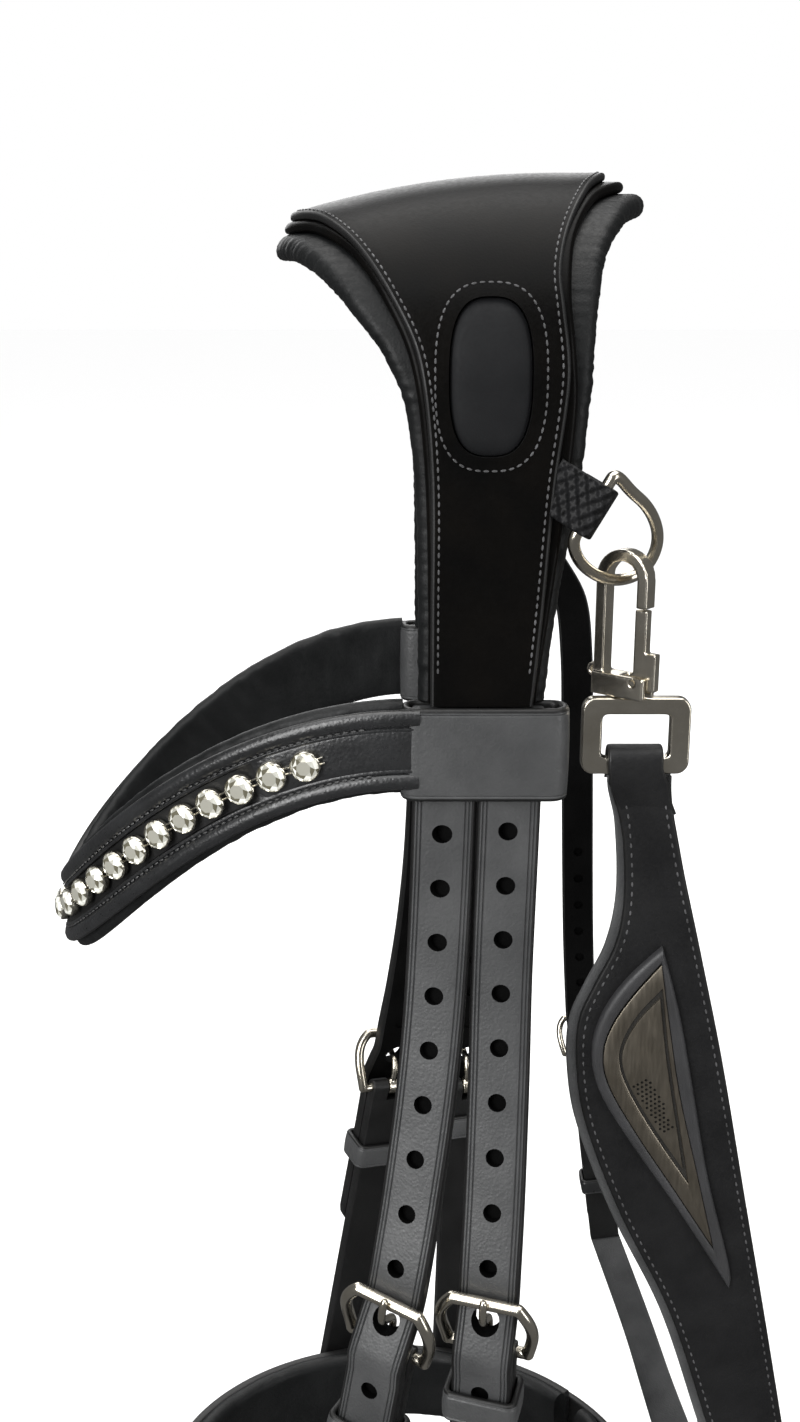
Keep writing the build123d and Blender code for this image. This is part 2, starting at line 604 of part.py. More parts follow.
# ---------------------------------------------------------------- noseband
def nose_band(half, inner, outer, start, end, steps=30):
    """Band round the nose between two angles from the rear."""
    stations = []
    for i in range(steps + 1):
        a = math.radians(start + (end - start) * i / steps)
        place = Vector(NOSE_CENTRE_X + NOSE_HALF[0] * math.cos(a), NOSE_HALF[1] * math.sin(a), NOSE_Z)
        out = Vector(math.cos(a) / NOSE_HALF[0], math.sin(a) / NOSE_HALF[1], 0).normalized()
        stations.append((place, Vector(0, 0, 1), out, half, inner, outer))
    return ribbon(stations)


def noseband():
    save("noseband_leather", nose_band(11.5, 0.5, 4.0, 38, 322))
    save("noseband_lining", nose_band(14.0, -5.6, 0, 37, 323))
    save("jaw_pad", nose_band(15.0, -5.6, 0, -27, 27, steps=10))
    save("jaw_strap", nose_band(7.5, 4.5, 7.3, -66, 66, steps=18))


if __name__ == "__main__":
    headpiece()
    straps_and_buckles()
    browband()
    throatlash()
    badge()
    noseband()
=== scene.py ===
# %% [markdown]
# # A snaffle bridle with a crystal browband
# The metal and the punched straps were designed first, as a frame of named bodies. This
# lesson dresses that frame: leather with pressed lines, padding, thread, nickel and crystals.
# Everything is drawn in millimetres in the frame's own axes, and made into metres at the end.

# %% Load the fixed frame
import json
import math
import random
import bmesh
import bpy
from mathutils import Matrix, Vector, noise

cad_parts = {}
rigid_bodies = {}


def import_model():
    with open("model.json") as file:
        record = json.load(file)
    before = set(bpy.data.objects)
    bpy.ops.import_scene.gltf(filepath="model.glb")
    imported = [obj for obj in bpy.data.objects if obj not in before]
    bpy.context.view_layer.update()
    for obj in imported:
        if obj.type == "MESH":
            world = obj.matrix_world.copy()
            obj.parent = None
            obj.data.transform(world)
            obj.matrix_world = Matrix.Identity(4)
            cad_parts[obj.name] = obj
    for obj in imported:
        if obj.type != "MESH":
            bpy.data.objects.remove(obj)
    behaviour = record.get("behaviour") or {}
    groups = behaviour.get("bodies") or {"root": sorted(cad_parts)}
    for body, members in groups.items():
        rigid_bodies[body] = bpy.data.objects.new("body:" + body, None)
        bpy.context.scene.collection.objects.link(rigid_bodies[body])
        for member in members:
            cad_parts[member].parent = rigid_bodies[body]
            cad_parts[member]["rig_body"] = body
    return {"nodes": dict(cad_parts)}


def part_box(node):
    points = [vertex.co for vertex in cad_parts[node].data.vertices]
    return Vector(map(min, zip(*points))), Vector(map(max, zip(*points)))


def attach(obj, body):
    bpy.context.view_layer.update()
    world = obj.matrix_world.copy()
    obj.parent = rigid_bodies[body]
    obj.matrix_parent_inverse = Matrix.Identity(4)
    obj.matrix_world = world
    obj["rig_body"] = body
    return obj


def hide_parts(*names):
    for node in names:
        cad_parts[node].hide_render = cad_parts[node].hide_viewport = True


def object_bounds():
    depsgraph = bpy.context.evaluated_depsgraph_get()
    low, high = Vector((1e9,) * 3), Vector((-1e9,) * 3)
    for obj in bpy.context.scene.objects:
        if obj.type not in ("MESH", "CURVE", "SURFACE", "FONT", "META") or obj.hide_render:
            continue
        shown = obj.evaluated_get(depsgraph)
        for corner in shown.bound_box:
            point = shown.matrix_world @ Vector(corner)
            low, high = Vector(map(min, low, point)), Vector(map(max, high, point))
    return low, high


for leftover in list(bpy.data.objects):
    bpy.data.objects.remove(leftover)
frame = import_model()
cad_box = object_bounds()
MM = 0.001
NEAR, FAR = 1, -1
SIDES = {"near": NEAR, "far": FAR}
body_of = {name: node["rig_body"] for name, node in frame["nodes"].items()}

# %% [markdown]
# ## Camera
# The horse would face left. The eye is level with the headpiece and looks a little down, so
# the crest shows its top and the browband shows its outer face.

# %% Camera
LOOK_DOWN = 16.0
CAMERA_PLACE = (-0.0155, -0.412, -0.018)
LENS = 37.2
scene = bpy.context.scene
camera = bpy.data.objects.new("camera", bpy.data.cameras.new("camera"))
scene.collection.objects.link(camera)
camera.location = CAMERA_PLACE
camera.rotation_euler = (math.radians(90 - LOOK_DOWN), 0, 0)
camera.data.lens = LENS
camera.data.clip_start = 0.01
scene.camera = camera
print("lens", camera.data.lens, "mm")

# %% [markdown]
# ## Floor and light
# Black leather shows little colour of its own: it shows what it reflects. Large soft lights
# give the straps a broad grey sheen. The world could light the whole scene, but it would wash
# the leather out, so it is white where the camera sees it and dim for everything else.

# %% Floor
FLOOR_DROP = 0.06
FLOOR_REACH = 40.0
FLOOR_COLOUR = (0.93, 0.93, 0.93, 1)
pale = bpy.data.materials.new("pale_floor")
pale.use_nodes = True
pale.node_tree.nodes["Principled BSDF"].inputs["Base Color"].default_value = FLOOR_COLOUR
pale.node_tree.nodes["Principled BSDF"].inputs["Roughness"].default_value = 0.9
bpy.ops.mesh.primitive_plane_add(size=FLOOR_REACH, location=(0, 0, cad_box[0].z - FLOOR_DROP))
floor = bpy.context.object
floor.name = "floor"
floor.data.materials.append(pale)
floor.visible_glossy = False
print("floor at", round(floor.location.z / MM), "mm")

# %% Light
WORLD_DIM, WORLD_SEEN = 0.12, 1.0
scene.view_settings.view_transform = "Standard"
world = bpy.data.worlds.new("studio")
scene.world = world
world.use_nodes = True
sky = world.node_tree
background = sky.nodes["Background"]
background.inputs["Color"].default_value = (1, 1, 1, 1)
seen = sky.nodes.new("ShaderNodeLightPath")
level = sky.nodes.new("ShaderNodeMapRange")
level.inputs["To Min"].default_value = WORLD_DIM
level.inputs["To Max"].default_value = WORLD_SEEN
sky.links.new(seen.outputs["Is Camera Ray"], level.inputs["Value"])
sky.links.new(level.outputs["Result"], background.inputs["Strength"])


def softbox(name, place, aim, size, power, colour=(1, 1, 1)):
    """A square area light at place, facing aim."""
    data = bpy.data.lights.new(name, "AREA")
    data.shape = "RECTANGLE"
    data.size, data.size_y = size
    data.energy = power
    data.color = colour
    lamp = bpy.data.objects.new(name, data)
    scene.collection.objects.link(lamp)
    lamp.location = place
    lamp.rotation_euler = (Vector(aim) - Vector(place)).to_track_quat("-Z", "Y").to_euler()


softbox("front_left", (-1.1, -1.5, 0.55), (0, 0, -0.22), (0.9, 1.6), 36)
softbox("front_right", (1.5, -1.2, 0.1), (0, 0, -0.25), (0.5, 1.6), 10)
softbox("overhead", (0.1, 0.2, 1.6), (0, 0, -0.1), (1.6, 1.2), 9, (1.0, 0.96, 0.9))
softbox("behind", (-0.4, 1.6, 0.6), (0, 0, -0.2), (1.6, 1.0), 12)
daylight = bpy.data.objects.new("daylight", bpy.data.lights.new("daylight", "SUN"))
daylight.data.energy = 3.1
daylight.data.angle = math.radians(80)
scene.collection.objects.link(daylight)

# %% [markdown]
# ## Leather
# Leather is a base colour that varies a little, a pebbled or porous grain, and a gloss that
# changes from place to place. The grain could be modelled, but it is far too fine, so it is
# bump from a Voronoi pattern. Its cells are sized in metres, so every strap has the same hide.

# %% Leather helper
def bare(name):
    """A new material with its shader and its object coordinates."""
    material = bpy.data.materials.new(name)
    material.use_nodes = True
    tree = material.node_tree
    coords = tree.nodes.new("ShaderNodeTexCoord")
    return material, tree, tree.nodes["Principled BSDF"], coords.outputs["Object"]


def pattern(tree, kind, where, scale, **settings):
    """A texture node that reads the given coordinates."""
    node = tree.nodes.new(kind)
    node.inputs["Scale"].default_value = scale
    for key, value in settings.items():
        node.inputs[key.replace("_", " ")].default_value = value
    tree.links.new(where, node.inputs["Vector"])
    return node


def between(tree, value, low, high):
    """A value from a pattern, stretched to run from low to high."""
    node = tree.nodes.new("ShaderNodeMapRange")
    node.inputs["From Min"].default_value = 0.3
    node.inputs["From Max"].default_value = 0.7
    node.inputs["To Min"].default_value = low
    node.inputs["To Max"].default_value = high
    tree.links.new(value, node.inputs["Value"])
    return node.outputs["Result"]


def blend_colours(tree, value, first, second):
    """A colour between two, as the pattern's value says."""
    ramp = tree.nodes.new("ShaderNodeValToRGB")
    ramp.color_ramp.elements[0].color = (*first, 1)
    ramp.color_ramp.elements[1].color = (*second, 1)
    ramp.color_ramp.elements[0].position = 0.3
    ramp.color_ramp.elements[1].position = 0.7
    tree.links.new(value, ramp.inputs["Fac"])
    return ramp.outputs["Color"]


def add_bump(tree, height, depth, strength, below=None):
    """Bump of the given depth in metres, on top of another bump if there is one."""
    bump = tree.nodes.new("ShaderNodeBump")
    bump.inputs["Distance"].default_value = depth
    bump.inputs["Strength"].default_value = strength
    tree.links.new(height, bump.inputs["Height"])
    if below is not None:
        tree.links.new(below, bump.inputs["Normal"])
    return bump.outputs["Normal"]


def leather(name, dark, light, gloss, cell=0.9, depth=0.12, specular=0.5, wrinkles=0.0):
    """Hide with its own grain: cell and depth in millimetres, gloss as low and high roughness."""
    material, tree, shader, place = bare(name)
    cloudy = pattern(tree, "ShaderNodeTexNoise", place, 70, Detail=4)
    fine = pattern(tree, "ShaderNodeTexNoise", place, 900, Detail=2)
    pebbles = pattern(tree, "ShaderNodeTexVoronoi", place, 1000 / cell)
    pebbles.feature = "SMOOTH_F1"
    tree.links.new(blend_colours(tree, cloudy.outputs[0], dark, light), shader.inputs["Base Color"])
    tree.links.new(between(tree, fine.outputs[0], *gloss), shader.inputs["Roughness"])
    shader.inputs["Specular IOR Level"].default_value = specular
    grain = add_bump(tree, pebbles.outputs["Distance"], -depth * MM, 0.9)
    if wrinkles:
        folds = pattern(tree, "ShaderNodeTexNoise", place, 260, Detail=3, Distortion=0.6)
        grain = add_bump(tree, folds.outputs[0], wrinkles * MM, 0.8, grain)
    tree.links.new(grain, shader.inputs["Normal"])
    return material


crown_hide = leather("smooth_black_leather", (0.0015,) * 3, (0.003, 0.0026, 0.0022), (0.28, 0.38),
                     cell=0.55, depth=0.02, specular=0.08)
strap_hide = leather("pebbled_strap_leather", (0.034, 0.035, 0.036), (0.052, 0.053, 0.054),
                     (0.40, 0.52), cell=0.75, depth=0.10, specular=0.55)
band_hide = leather("browband_leather_finish", (0.007, 0.0073, 0.0078), (0.014, 0.0145, 0.0155),
                    (0.27, 0.38), cell=0.8, depth=0.09, specular=0.75)
edge_paint = leather("painted_leather_edge", (0.005,) * 3, (0.009,) * 3, (0.38, 0.5),
                     cell=0.5, depth=0.03, specular=0.4)
raw_edge = leather("raw_grey_leather_edge", (0.035, 0.036, 0.037), (0.065, 0.066, 0.067), (0.6, 0.75),
                   cell=0.45, depth=0.12, specular=0.35, wrinkles=0.15)
soft_hide = leather("soft_padded_leather", (0.0035, 0.004, 0.0042), (0.008, 0.0085, 0.0088),
                    (0.42, 0.56), cell=0.6, depth=0.05, specular=0.26, wrinkles=0.12)
pad_hide = leather("matte_pad_leather", (0.0055, 0.0058, 0.0066), (0.0085, 0.0088, 0.0096),
                   (0.58, 0.70), cell=0.4, depth=0.02, specular=0.16)
throat_hide = leather("throat_strap_leather", (0.0045, 0.0045, 0.005), (0.009, 0.009, 0.0095),
                      (0.42, 0.56), cell=0.6, depth=0.06, specular=0.35)
print("leathers:", sum("leather" in m.name for m in bpy.data.materials))

# %% [markdown]
# ## Metal, crystal, thread and webbing
# Nickel on tack is a warm grey, polished but handled. The badge is satin, brushed along its
# length. A foiled crystal is bright because light bounces inside it. Tracing that is slow and
# noisy, so each facet carries its own value instead, and the material turns it into painted
# bright and dark reflections.

# %% Metal
def metal(name, dark, light, gloss, scratches=0.0, brushed=(1, 1, 1)):
    """A metal whose colour and gloss vary, with fine marks along one direction."""
    material, tree, shader, place = bare(name)
    shader.inputs["Metallic"].default_value = 1.0
    turn = tree.nodes.new("ShaderNodeMapping")
    turn.inputs["Scale"].default_value = brushed
    tree.links.new(place, turn.inputs["Vector"])
    tint = pattern(tree, "ShaderNodeTexNoise", place, 110, Detail=4)
    marks = pattern(tree, "ShaderNodeTexNoise", turn.outputs[0], 1400, Detail=3)
    tree.links.new(blend_colours(tree, tint.outputs[0], dark, light), shader.inputs["Base Color"])
    tree.links.new(between(tree, marks.outputs[0], *gloss), shader.inputs["Roughness"])
    if scratches:
        tree.links.new(add_bump(tree, marks.outputs[0], scratches * MM, 0.5), shader.inputs["Normal"])
    return material


nickel = metal("polished_nickel", (0.66, 0.61, 0.51), (0.80, 0.75, 0.65), (0.19, 0.25), 0.002)
satin = metal("satin_badge_metal", (0.30, 0.265, 0.21), (0.37, 0.33, 0.27), (0.34, 0.46), 0.02,
              (1, 1, 0.12))
silver = metal("crystal_cup_silver", (0.55, 0.52, 0.44), (0.72, 0.69, 0.6), (0.16, 0.28), 0.01)
bezel_finish = leather("badge_bezel_rubber", (0.022, 0.022, 0.023), (0.032, 0.032, 0.034),
                       (0.42, 0.55), cell=0.35, depth=0.015)
# Painted shadow for the bottom of the badge's engraved line and the walls of its dots.
groove_painted_shade = leather("badge_groove_shadow", (0.012, 0.011, 0.009), (0.02, 0.018, 0.015),
                        (0.5, 0.6), cell=0.35, depth=0.015)
thread = leather("waxed_thread", (0.035,) * 3, (0.085, 0.085, 0.088), (0.35, 0.5), cell=0.3, depth=0.06)
dark_thread = leather("black_waxed_thread", (0.018,) * 3, (0.07,) * 3, (0.22, 0.35), cell=0.3,
                      depth=0.06, specular=0.9)
# Near-black walls and film inside the punched holes: painted shade.
hole_painted_shade = leather("punched_leather_wall", (0.0015,) * 3, (0.003,) * 3, (0.7, 0.8), cell=0.4, depth=0.03,
                    specular=0.05)


def crystal():
    """Foiled glass: facets painted bright and dark as reflections, with a warm cast, under a hard coat."""
    material, tree, shader, _ = bare("foiled_crystal")
    facet = tree.nodes.new("ShaderNodeAttribute")
    facet.attribute_name = "facet"
    # Painted reflections: each facet's value picks a colour from dark to bright.
    ramp = blend_colours(tree, facet.outputs["Fac"], (0.14, 0.13, 0.09), (1.0, 1.0, 0.92))
    tree.links.new(ramp, shader.inputs["Base Color"])
    tree.links.new(between(tree, facet.outputs["Fac"], 0.03, 0.09), shader.inputs["Roughness"])
    shader.inputs["Metallic"].default_value = 0.3
    shader.inputs["Coat Weight"].default_value = 1.0
    shader.inputs["Coat Roughness"].default_value = 0.03
    return material


def webbing():
    """Woven tape: two crossing sets of yarns along the piece's own length and width."""
    material, tree, shader, place = bare("woven_webbing")
    coords = tree.nodes.new("ShaderNodeUVMap")
    height = None
    for turned in (0.9, -0.9):
        turn = tree.nodes.new("ShaderNodeMapping")
        turn.inputs["Rotation"].default_value = (0, 0, turned)
        tree.links.new(coords.outputs["UV"], turn.inputs["Vector"])
        yarns = pattern(tree, "ShaderNodeTexWave", turn.outputs[0], 120, Distortion=0.6)
        height = add_bump(tree, yarns.outputs["Fac"], 0.5 * MM, 1.0, height)
    tree.links.new(height, shader.inputs["Normal"])
    cloudy = pattern(tree, "ShaderNodeTexNoise", place, 500, Detail=3)
    colour = blend_colours(tree, cloudy.outputs[0], (0.003, 0.003, 0.0032), (0.010, 0.010, 0.011))
    tree.links.new(colour, shader.inputs["Base Color"])
    shader.inputs["Roughness"].default_value = 0.5
    shader.inputs["Specular IOR Level"].default_value = 0.25
    return material


crystal_glass = crystal()
tape = webbing()
print("materials:", len(bpy.data.materials))

# %% [markdown]
# ## Making a strap
# Almost every piece of a bridle is a strip that follows a way. A strip is a profile, drawn
# across and outwards, carried along stations. Each station is a centre, a direction across,
# a direction outwards, and the half width there. Between stations the way is smoothed.

# %% Smooth ways
def smooth(keys, s):
    """Value at s of a smooth curve through (station, value) pairs."""
    i = 0
    while i < len(keys) - 2 and s > keys[i + 1][0]:
        i += 1
    (s0, v0), (s1, v1) = keys[i], keys[i + 1]
    before = keys[i - 1] if i > 0 else (2 * s0 - s1, v1)
    after = keys[i + 2] if i + 2 < len(keys) else (s1, v1)
    slope0 = (v1 - before[1]) / (s1 - before[0])
    slope1 = (after[1] - v0) / (after[0] - s0)
    span = s1 - s0
    t = min(1.0, max(0.0, (s - s0) / span))
    return (v0 * (1 + 2 * t) * (1 - t) ** 2 + slope0 * span * t * (1 - t) ** 2
            + v1 * t * t * (3 - 2 * t) + slope1 * span * t * t * (t - 1))


def glide(stations, step):
    """More stations along the same way, step millimetres apart, all smoothly between."""
    rows = [[*c, *w, *o, *rest] for c, w, o, *rest in stations]
    at = [0.0]
    for (a, *_), (b, *_) in zip(stations, stations[1:]):
        at.append(at[-1] + (Vector(b) - Vector(a)).length)
    slopes = []
    for i in range(len(rows)):
        j, k = max(0, i - 1), min(len(rows) - 1, i + 1)
        slopes.append([(b - a) / (at[k] - at[j]) for a, b in zip(rows[j], rows[k])])
    fine = []
    for i in range(len(rows) - 1):
        span = at[i + 1] - at[i]
        count = max(1, round(span / step))
        for n in range(count + (i == len(rows) - 2)):
            t = n / count
            h0, h1 = (1 + 2 * t) * (1 - t) ** 2, t * t * (3 - 2 * t)
            g0, g1 = t * (1 - t) ** 2 * span, t * t * (t - 1) * span
            row = [a * h0 + b * h1 + p * g0 + q * g1
                   for a, b, p, q in zip(rows[i], rows[i + 1], slopes[i], slopes[i + 1])]
            c, w, o = (Vector(row[k:k + 3]) for k in (0, 3, 6))
            w.normalize()
            o = (o - w * o.dot(w)).normalized()
            fine.append((c, w, o, *row[9:]))
    return fine


print("halfway between 0 and 1:", smooth([(0, 0), (1, 1)], 0.5))

# %% Profiles
FACE, EDGE, BACK = 0, 1, 2
LINE_HALF = 0.28


def profile(half, inner, outer, corner=0.7, lines=(), depth=0.25, dome=0.0, steps=6):
    """Points (across, out) round a strip: pressed lines by both edges, rounded corners."""
    corner = min(corner, (outer - inner) * 0.48, half * 0.4)
    flat = half - corner

    def top(a):
        return outer + dome * (1 - (a / half) ** 2)
    left = []
    for line in lines:
        at = -half + line
        left += [(at - LINE_HALF, top(at)), (at, top(at) - depth), (at + LINE_HALF, top(at))]
    reach = half - (max(lines) + 2 * LINE_HALF if lines else corner)
    middle = [-reach + 2 * reach * k / steps for k in range(steps + 1)]
    if not lines:
        middle = middle[1:-1]
    face = [(-flat, top(-flat))] + left + [(a, top(a)) for a in middle]
    face += [(-a, b) for a, b in reversed(left)] + [(flat, top(flat))]
    turn = [math.radians(d) for d in (22.5, 45, 67.5, 90)]
    right = [(flat + corner * math.sin(t), outer - corner + corner * math.cos(t)) for t in turn]
    down = [(flat + corner * math.cos(t), inner + corner - corner * math.sin(t)) for t in [0.0] + turn]
    back = [(a, inner) for a in (flat * 0.5, 0.0, -flat * 0.5)]
    points = face + right + down + back + [(-a, b) for a, b in reversed(down)]
    points += [(-a, b) for a, b in reversed(right)]
    kinds = [FACE] * (len(face) - 1) + [EDGE] * (len(right) + len(down))
    kinds += [BACK] * 4
    return points, kinds + [EDGE] * (len(points) - len(kinds))


def pillow(half, inner, outer, bulge=1.0, steps=10):
    """Points round a soft strip whose edges are full half circles and whose faces swell."""
    middle, r = (inner + outer) / 2, (outer - inner) / 2
    flat = half - r
    points = []
    for k in range(steps + 1):
        a = -flat + 2 * flat * k / steps
        points.append((a, outer + bulge * (1 - (a / half) ** 4)))
    for k in range(1, 8):
        t = math.radians(22.5 * k)
        points.append((flat + r * math.sin(t), middle + r * math.cos(t)))
    for k in range(steps + 1):
        a = flat - 2 * flat * k / steps
        points.append((a, inner))
    for k in range(1, 8):
        t = math.radians(22.5 * k)
        points.append((-flat - r * math.sin(t), middle - r * math.cos(t)))
    return points, [FACE] * len(points)


print("points round a strap:", len(profile(8, 0, 4)[0]), "and round a pad:", len(pillow(8, 0, 4)[0]))

# %% [markdown]
# ## From rings to a piece
# A bmesh is a mesh that is still open to edit. The rings of points become its rows, faces join
# each row to the next, and both ends are closed, so every strip is a solid with an inside.
# Curves with a bevel would be quicker to draw, but they can't change width and keep a flat back.

# %% Skins
def add_object(name, mesh):
    obj = bpy.data.objects.new(name, mesh)
    scene.collection.objects.link(obj)
    return obj


def from_bmesh(name, shape, materials, sharp=38.0):
    """An object from a bmesh: faces outwards, smooth except at real corners."""
    if shape.calc_volume(signed=True) < 0:
        bmesh.ops.reverse_faces(shape, faces=shape.faces)
    mesh = bpy.data.meshes.new(name)
    shape.to_mesh(mesh)
    shape.free()
    for material in materials:
        mesh.materials.append(material)
    mesh.polygons.foreach_set("use_smooth", [True] * len(mesh.polygons))
    mesh.set_sharp_from_angle(angle=math.radians(sharp))
    return add_object(name, mesh)


def skin_into(shape, rings, kinds, side=NEAR, closed=False):
    """Faces through a row of closed rings of points in millimetres, with UVs in metres."""
    uv = shape.loops.layers.uv.verify()
    rows = [[shape.verts.new((p.x * MM, side * p.y * MM, p.z * MM)) for p in ring] for ring in rings]
    count = len(rings[0])
    widest = rings[len(rings) // 2]
    around = [0.0]
    for j in range(count):
        around.append(around[-1] + (widest[j] - widest[(j + 1) % count]).length * MM)
    along = [0.0]
    for a, b in zip(rings, rings[1:] + rings[:1]):
        along.append(along[-1] + (a[0] - b[0]).length * MM)
    pairs = list(zip(rows, rows[1:])) + ([(rows[-1], rows[0])] if closed else [])
    for i, (low, high) in enumerate(pairs):
        for j in range(count):
            k = (j + 1) % count
            face = shape.faces.new((low[j], low[k], high[k], high[j]))
            face.material_index = kinds[j]
            corners = ((j, i), (j + 1, i), (j + 1, i + 1), (j, i + 1))
            for loop, (u, v) in zip(face.loops, corners):
                loop[uv].uv = (around[u], along[v])
    if not closed:
        shape.faces.new(list(reversed(rows[0])))
        shape.faces.new(rows[-1])


def skin(name, rings, kinds, materials, side=NEAR, closed=False, sharp=38.0):
    """One closed skin through rings, as an object."""
    shape = bmesh.new()
    skin_into(shape, rings, kinds, side, closed)
    return from_bmesh(name, shape, materials, sharp)


def carry(points, station):
    """A profile's points at one station."""
    centre, wide, out = station[:3]
    return [centre + wide * a + out * b for a, b in points]


def dress(obj, body, node=None):
    """The piece rides on a body and stands for its node."""
    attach(obj, body)
    if node:
        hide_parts(node)
    return obj


print("kinds of face:", FACE, EDGE, BACK)

# %% [markdown]
# ## Thread in a row
# A stitch repeats along a seam, which is what Geometry Nodes are for. The tree takes a line,
# sets points at an even spacing, and turns a small shape to the seam and to the surface.
# The same tree sets the crystals. The result is made real and kept as a plain mesh.

# %% Row tree
def row_tree():
    tree = bpy.data.node_groups.new("set_in_a_row", "GeometryNodeTree")
    for label, kind in (("Line", "Geometry"), ("Spacing", "Float"), ("Shape", "Object"),
                        ("Finish", "Material")):
        tree.interface.new_socket(label, in_out="INPUT", socket_type="NodeSocket" + kind)
    tree.interface.new_socket("Pieces", in_out="OUTPUT", socket_type="NodeSocketGeometry")
    add, link = tree.nodes.new, tree.links.new
    given, result = add("NodeGroupInput"), add("NodeGroupOutput")
    curve, spaced = add("GeometryNodeMeshToCurve"), add("GeometryNodeResampleCurve")
    spaced.mode = "LENGTH"
    outward = add("GeometryNodeInputNamedAttribute")
    outward.data_type = "FLOAT_VECTOR"
    outward.inputs["Name"].default_value = "out"
    along = add("FunctionNodeAlignRotationToVector")
    along.axis = "X"
    upright = add("FunctionNodeAlignRotationToVector")
    upright.axis = "Z"
    upright.pivot_axis = "X"
    shape = add("GeometryNodeObjectInfo")
    placed = add("GeometryNodeInstanceOnPoints")
    real, finish = add("GeometryNodeRealizeInstances"), add("GeometryNodeSetMaterial")
    link(given.outputs["Line"], curve.inputs["Mesh"])
    link(curve.outputs["Curve"], spaced.inputs["Curve"])
    link(given.outputs["Spacing"], spaced.inputs["Length"])
    link(add("GeometryNodeInputTangent").outputs["Tangent"], along.inputs["Vector"])
    link(along.outputs["Rotation"], upright.inputs["Rotation"])
    link(outward.outputs["Attribute"], upright.inputs["Vector"])
    link(given.outputs["Shape"], shape.inputs["Object"])
    link(spaced.outputs["Curve"], placed.inputs["Points"])
    link(shape.outputs["Geometry"], placed.inputs["Instance"])
    link(upright.outputs["Rotation"], placed.inputs["Rotation"])
    link(placed.outputs["Instances"], real.inputs["Geometry"])
    link(real.outputs["Geometry"], finish.inputs["Geometry"])
    link(given.outputs["Finish"], finish.inputs["Material"])
    link(finish.outputs["Geometry"], result.inputs["Pieces"])
    return tree


ROW = row_tree()


def frozen(obj):
    """The object's shape with its modifiers, as a plain mesh on the same object."""
    depsgraph = bpy.context.evaluated_depsgraph_get()
    mesh = bpy.data.meshes.new_from_object(obj.evaluated_get(depsgraph), depsgraph=depsgraph)
    obj.modifiers.clear()
    obj.data = mesh
    return obj


def set_in_rows(name, rows, spacing, shape, finish, closed=False):
    """Copies of shape along rows of (point, outward) pairs in millimetres."""
    points, edges, outs = [], [], []
    for row in rows:
        first = len(points)
        points += [p * MM for p, _ in row]
        outs += [c for _, out in row for c in out]
        edges += [(first + i, first + i + 1) for i in range(len(row) - 1)]
        if closed:
            edges.append((len(points) - 1, first))
    mesh = bpy.data.meshes.new(name)
    mesh.from_pydata(points, edges, [])
    mesh.attributes.new("out", "FLOAT_VECTOR", "POINT").data.foreach_set("vector", outs)
    obj = add_object(name, mesh)
    setting = obj.modifiers.new("row", "NODES")
    setting.node_group = ROW
    values = {"Spacing": spacing * MM, "Shape": shape, "Finish": finish}
    for item in ROW.interface.items_tree:
        if item.name in values:
            setting[item.identifier] = values[item.name]
    frozen(obj)
    obj.data.polygons.foreach_set("use_smooth", [shape.name == "stitch"] * len(obj.data.polygons))
    return obj


def stitch_shape(length=1.45, radius=0.3):
    """One visible stitch: a short rounded bar, sunk at both ends."""
    shape = bmesh.new()
    bmesh.ops.create_uvsphere(shape, u_segments=6, v_segments=5, radius=1.0)
    bmesh.ops.rotate(shape, verts=shape.verts, matrix=Matrix.Rotation(math.pi / 2, 3, "Y"))
    for v in shape.verts:
        v.co = Vector((v.co.x * length / 2, v.co.y * radius, v.co.z * radius * 0.85)) * MM
    return from_bmesh("stitch", shape, [])


STITCH = stitch_shape()
STITCH_PITCH = 2.1


def sew(name, rows, body, finish, closed=False, pitch=STITCH_PITCH):
    obj = set_in_rows(name, rows, pitch, STITCH, finish, closed)
    return dress(obj, body)


print("row tree has", len(ROW.nodes), "nodes")

# %% [markdown]
# ## The headpiece
# Three layers lie over the poll: a soft pad, a rolled welt and the smooth top leather. Each
# follows the same arch, so a layer is the arch at its own height, between its own two edges.

# %% Arch
ARCH_HALF_WIDTH = 38.0
ARCH_RISE = 45.0
SIDE_SPLAY = 0.03
CREST_X = 25.0
CREST_RADIUS = 238.0
CROWN_END = 165.3


def arch(s, off):
    """Y and Z on the near side at station s: degrees from the crest to 90, then millimetres."""
    if s <= 90:
        t = math.radians(s)
        ny, nz = math.sin(t) / ARCH_HALF_WIDTH, math.cos(t) / ARCH_RISE
        size = math.hypot(ny, nz)
        y = ARCH_HALF_WIDTH * math.sin(t) + off * ny / size
        return -y, ARCH_RISE * (math.cos(t) - 1) + off * nz / size
    z = -ARCH_RISE - (s - 90)
    return -ARCH_HALF_WIDTH - off - max(0.0, -z - 60) * SIDE_SPLAY, z


def on_arch(x, s, off):
    """Point of the headpiece; s below 0 is on the far side."""
    y, z = arch(abs(s), off)
    fade = max(0.0, math.cos(math.radians(min(abs(s), 90))))
    drop = fade * min(0.0, x - CREST_X) ** 2 / (2 * CREST_RADIUS)
    return Vector((x, y if s >= 0 else -y, z - drop))


def side_y(x, z, off):
    """Station of the near side that has this height."""
    low, high = 0.0, float(CROWN_END)
    for _ in range(24):
        middle = (low + high) / 2
        if on_arch(x, middle, off).z > z:
            low = middle
        else:
            high = middle
    return low


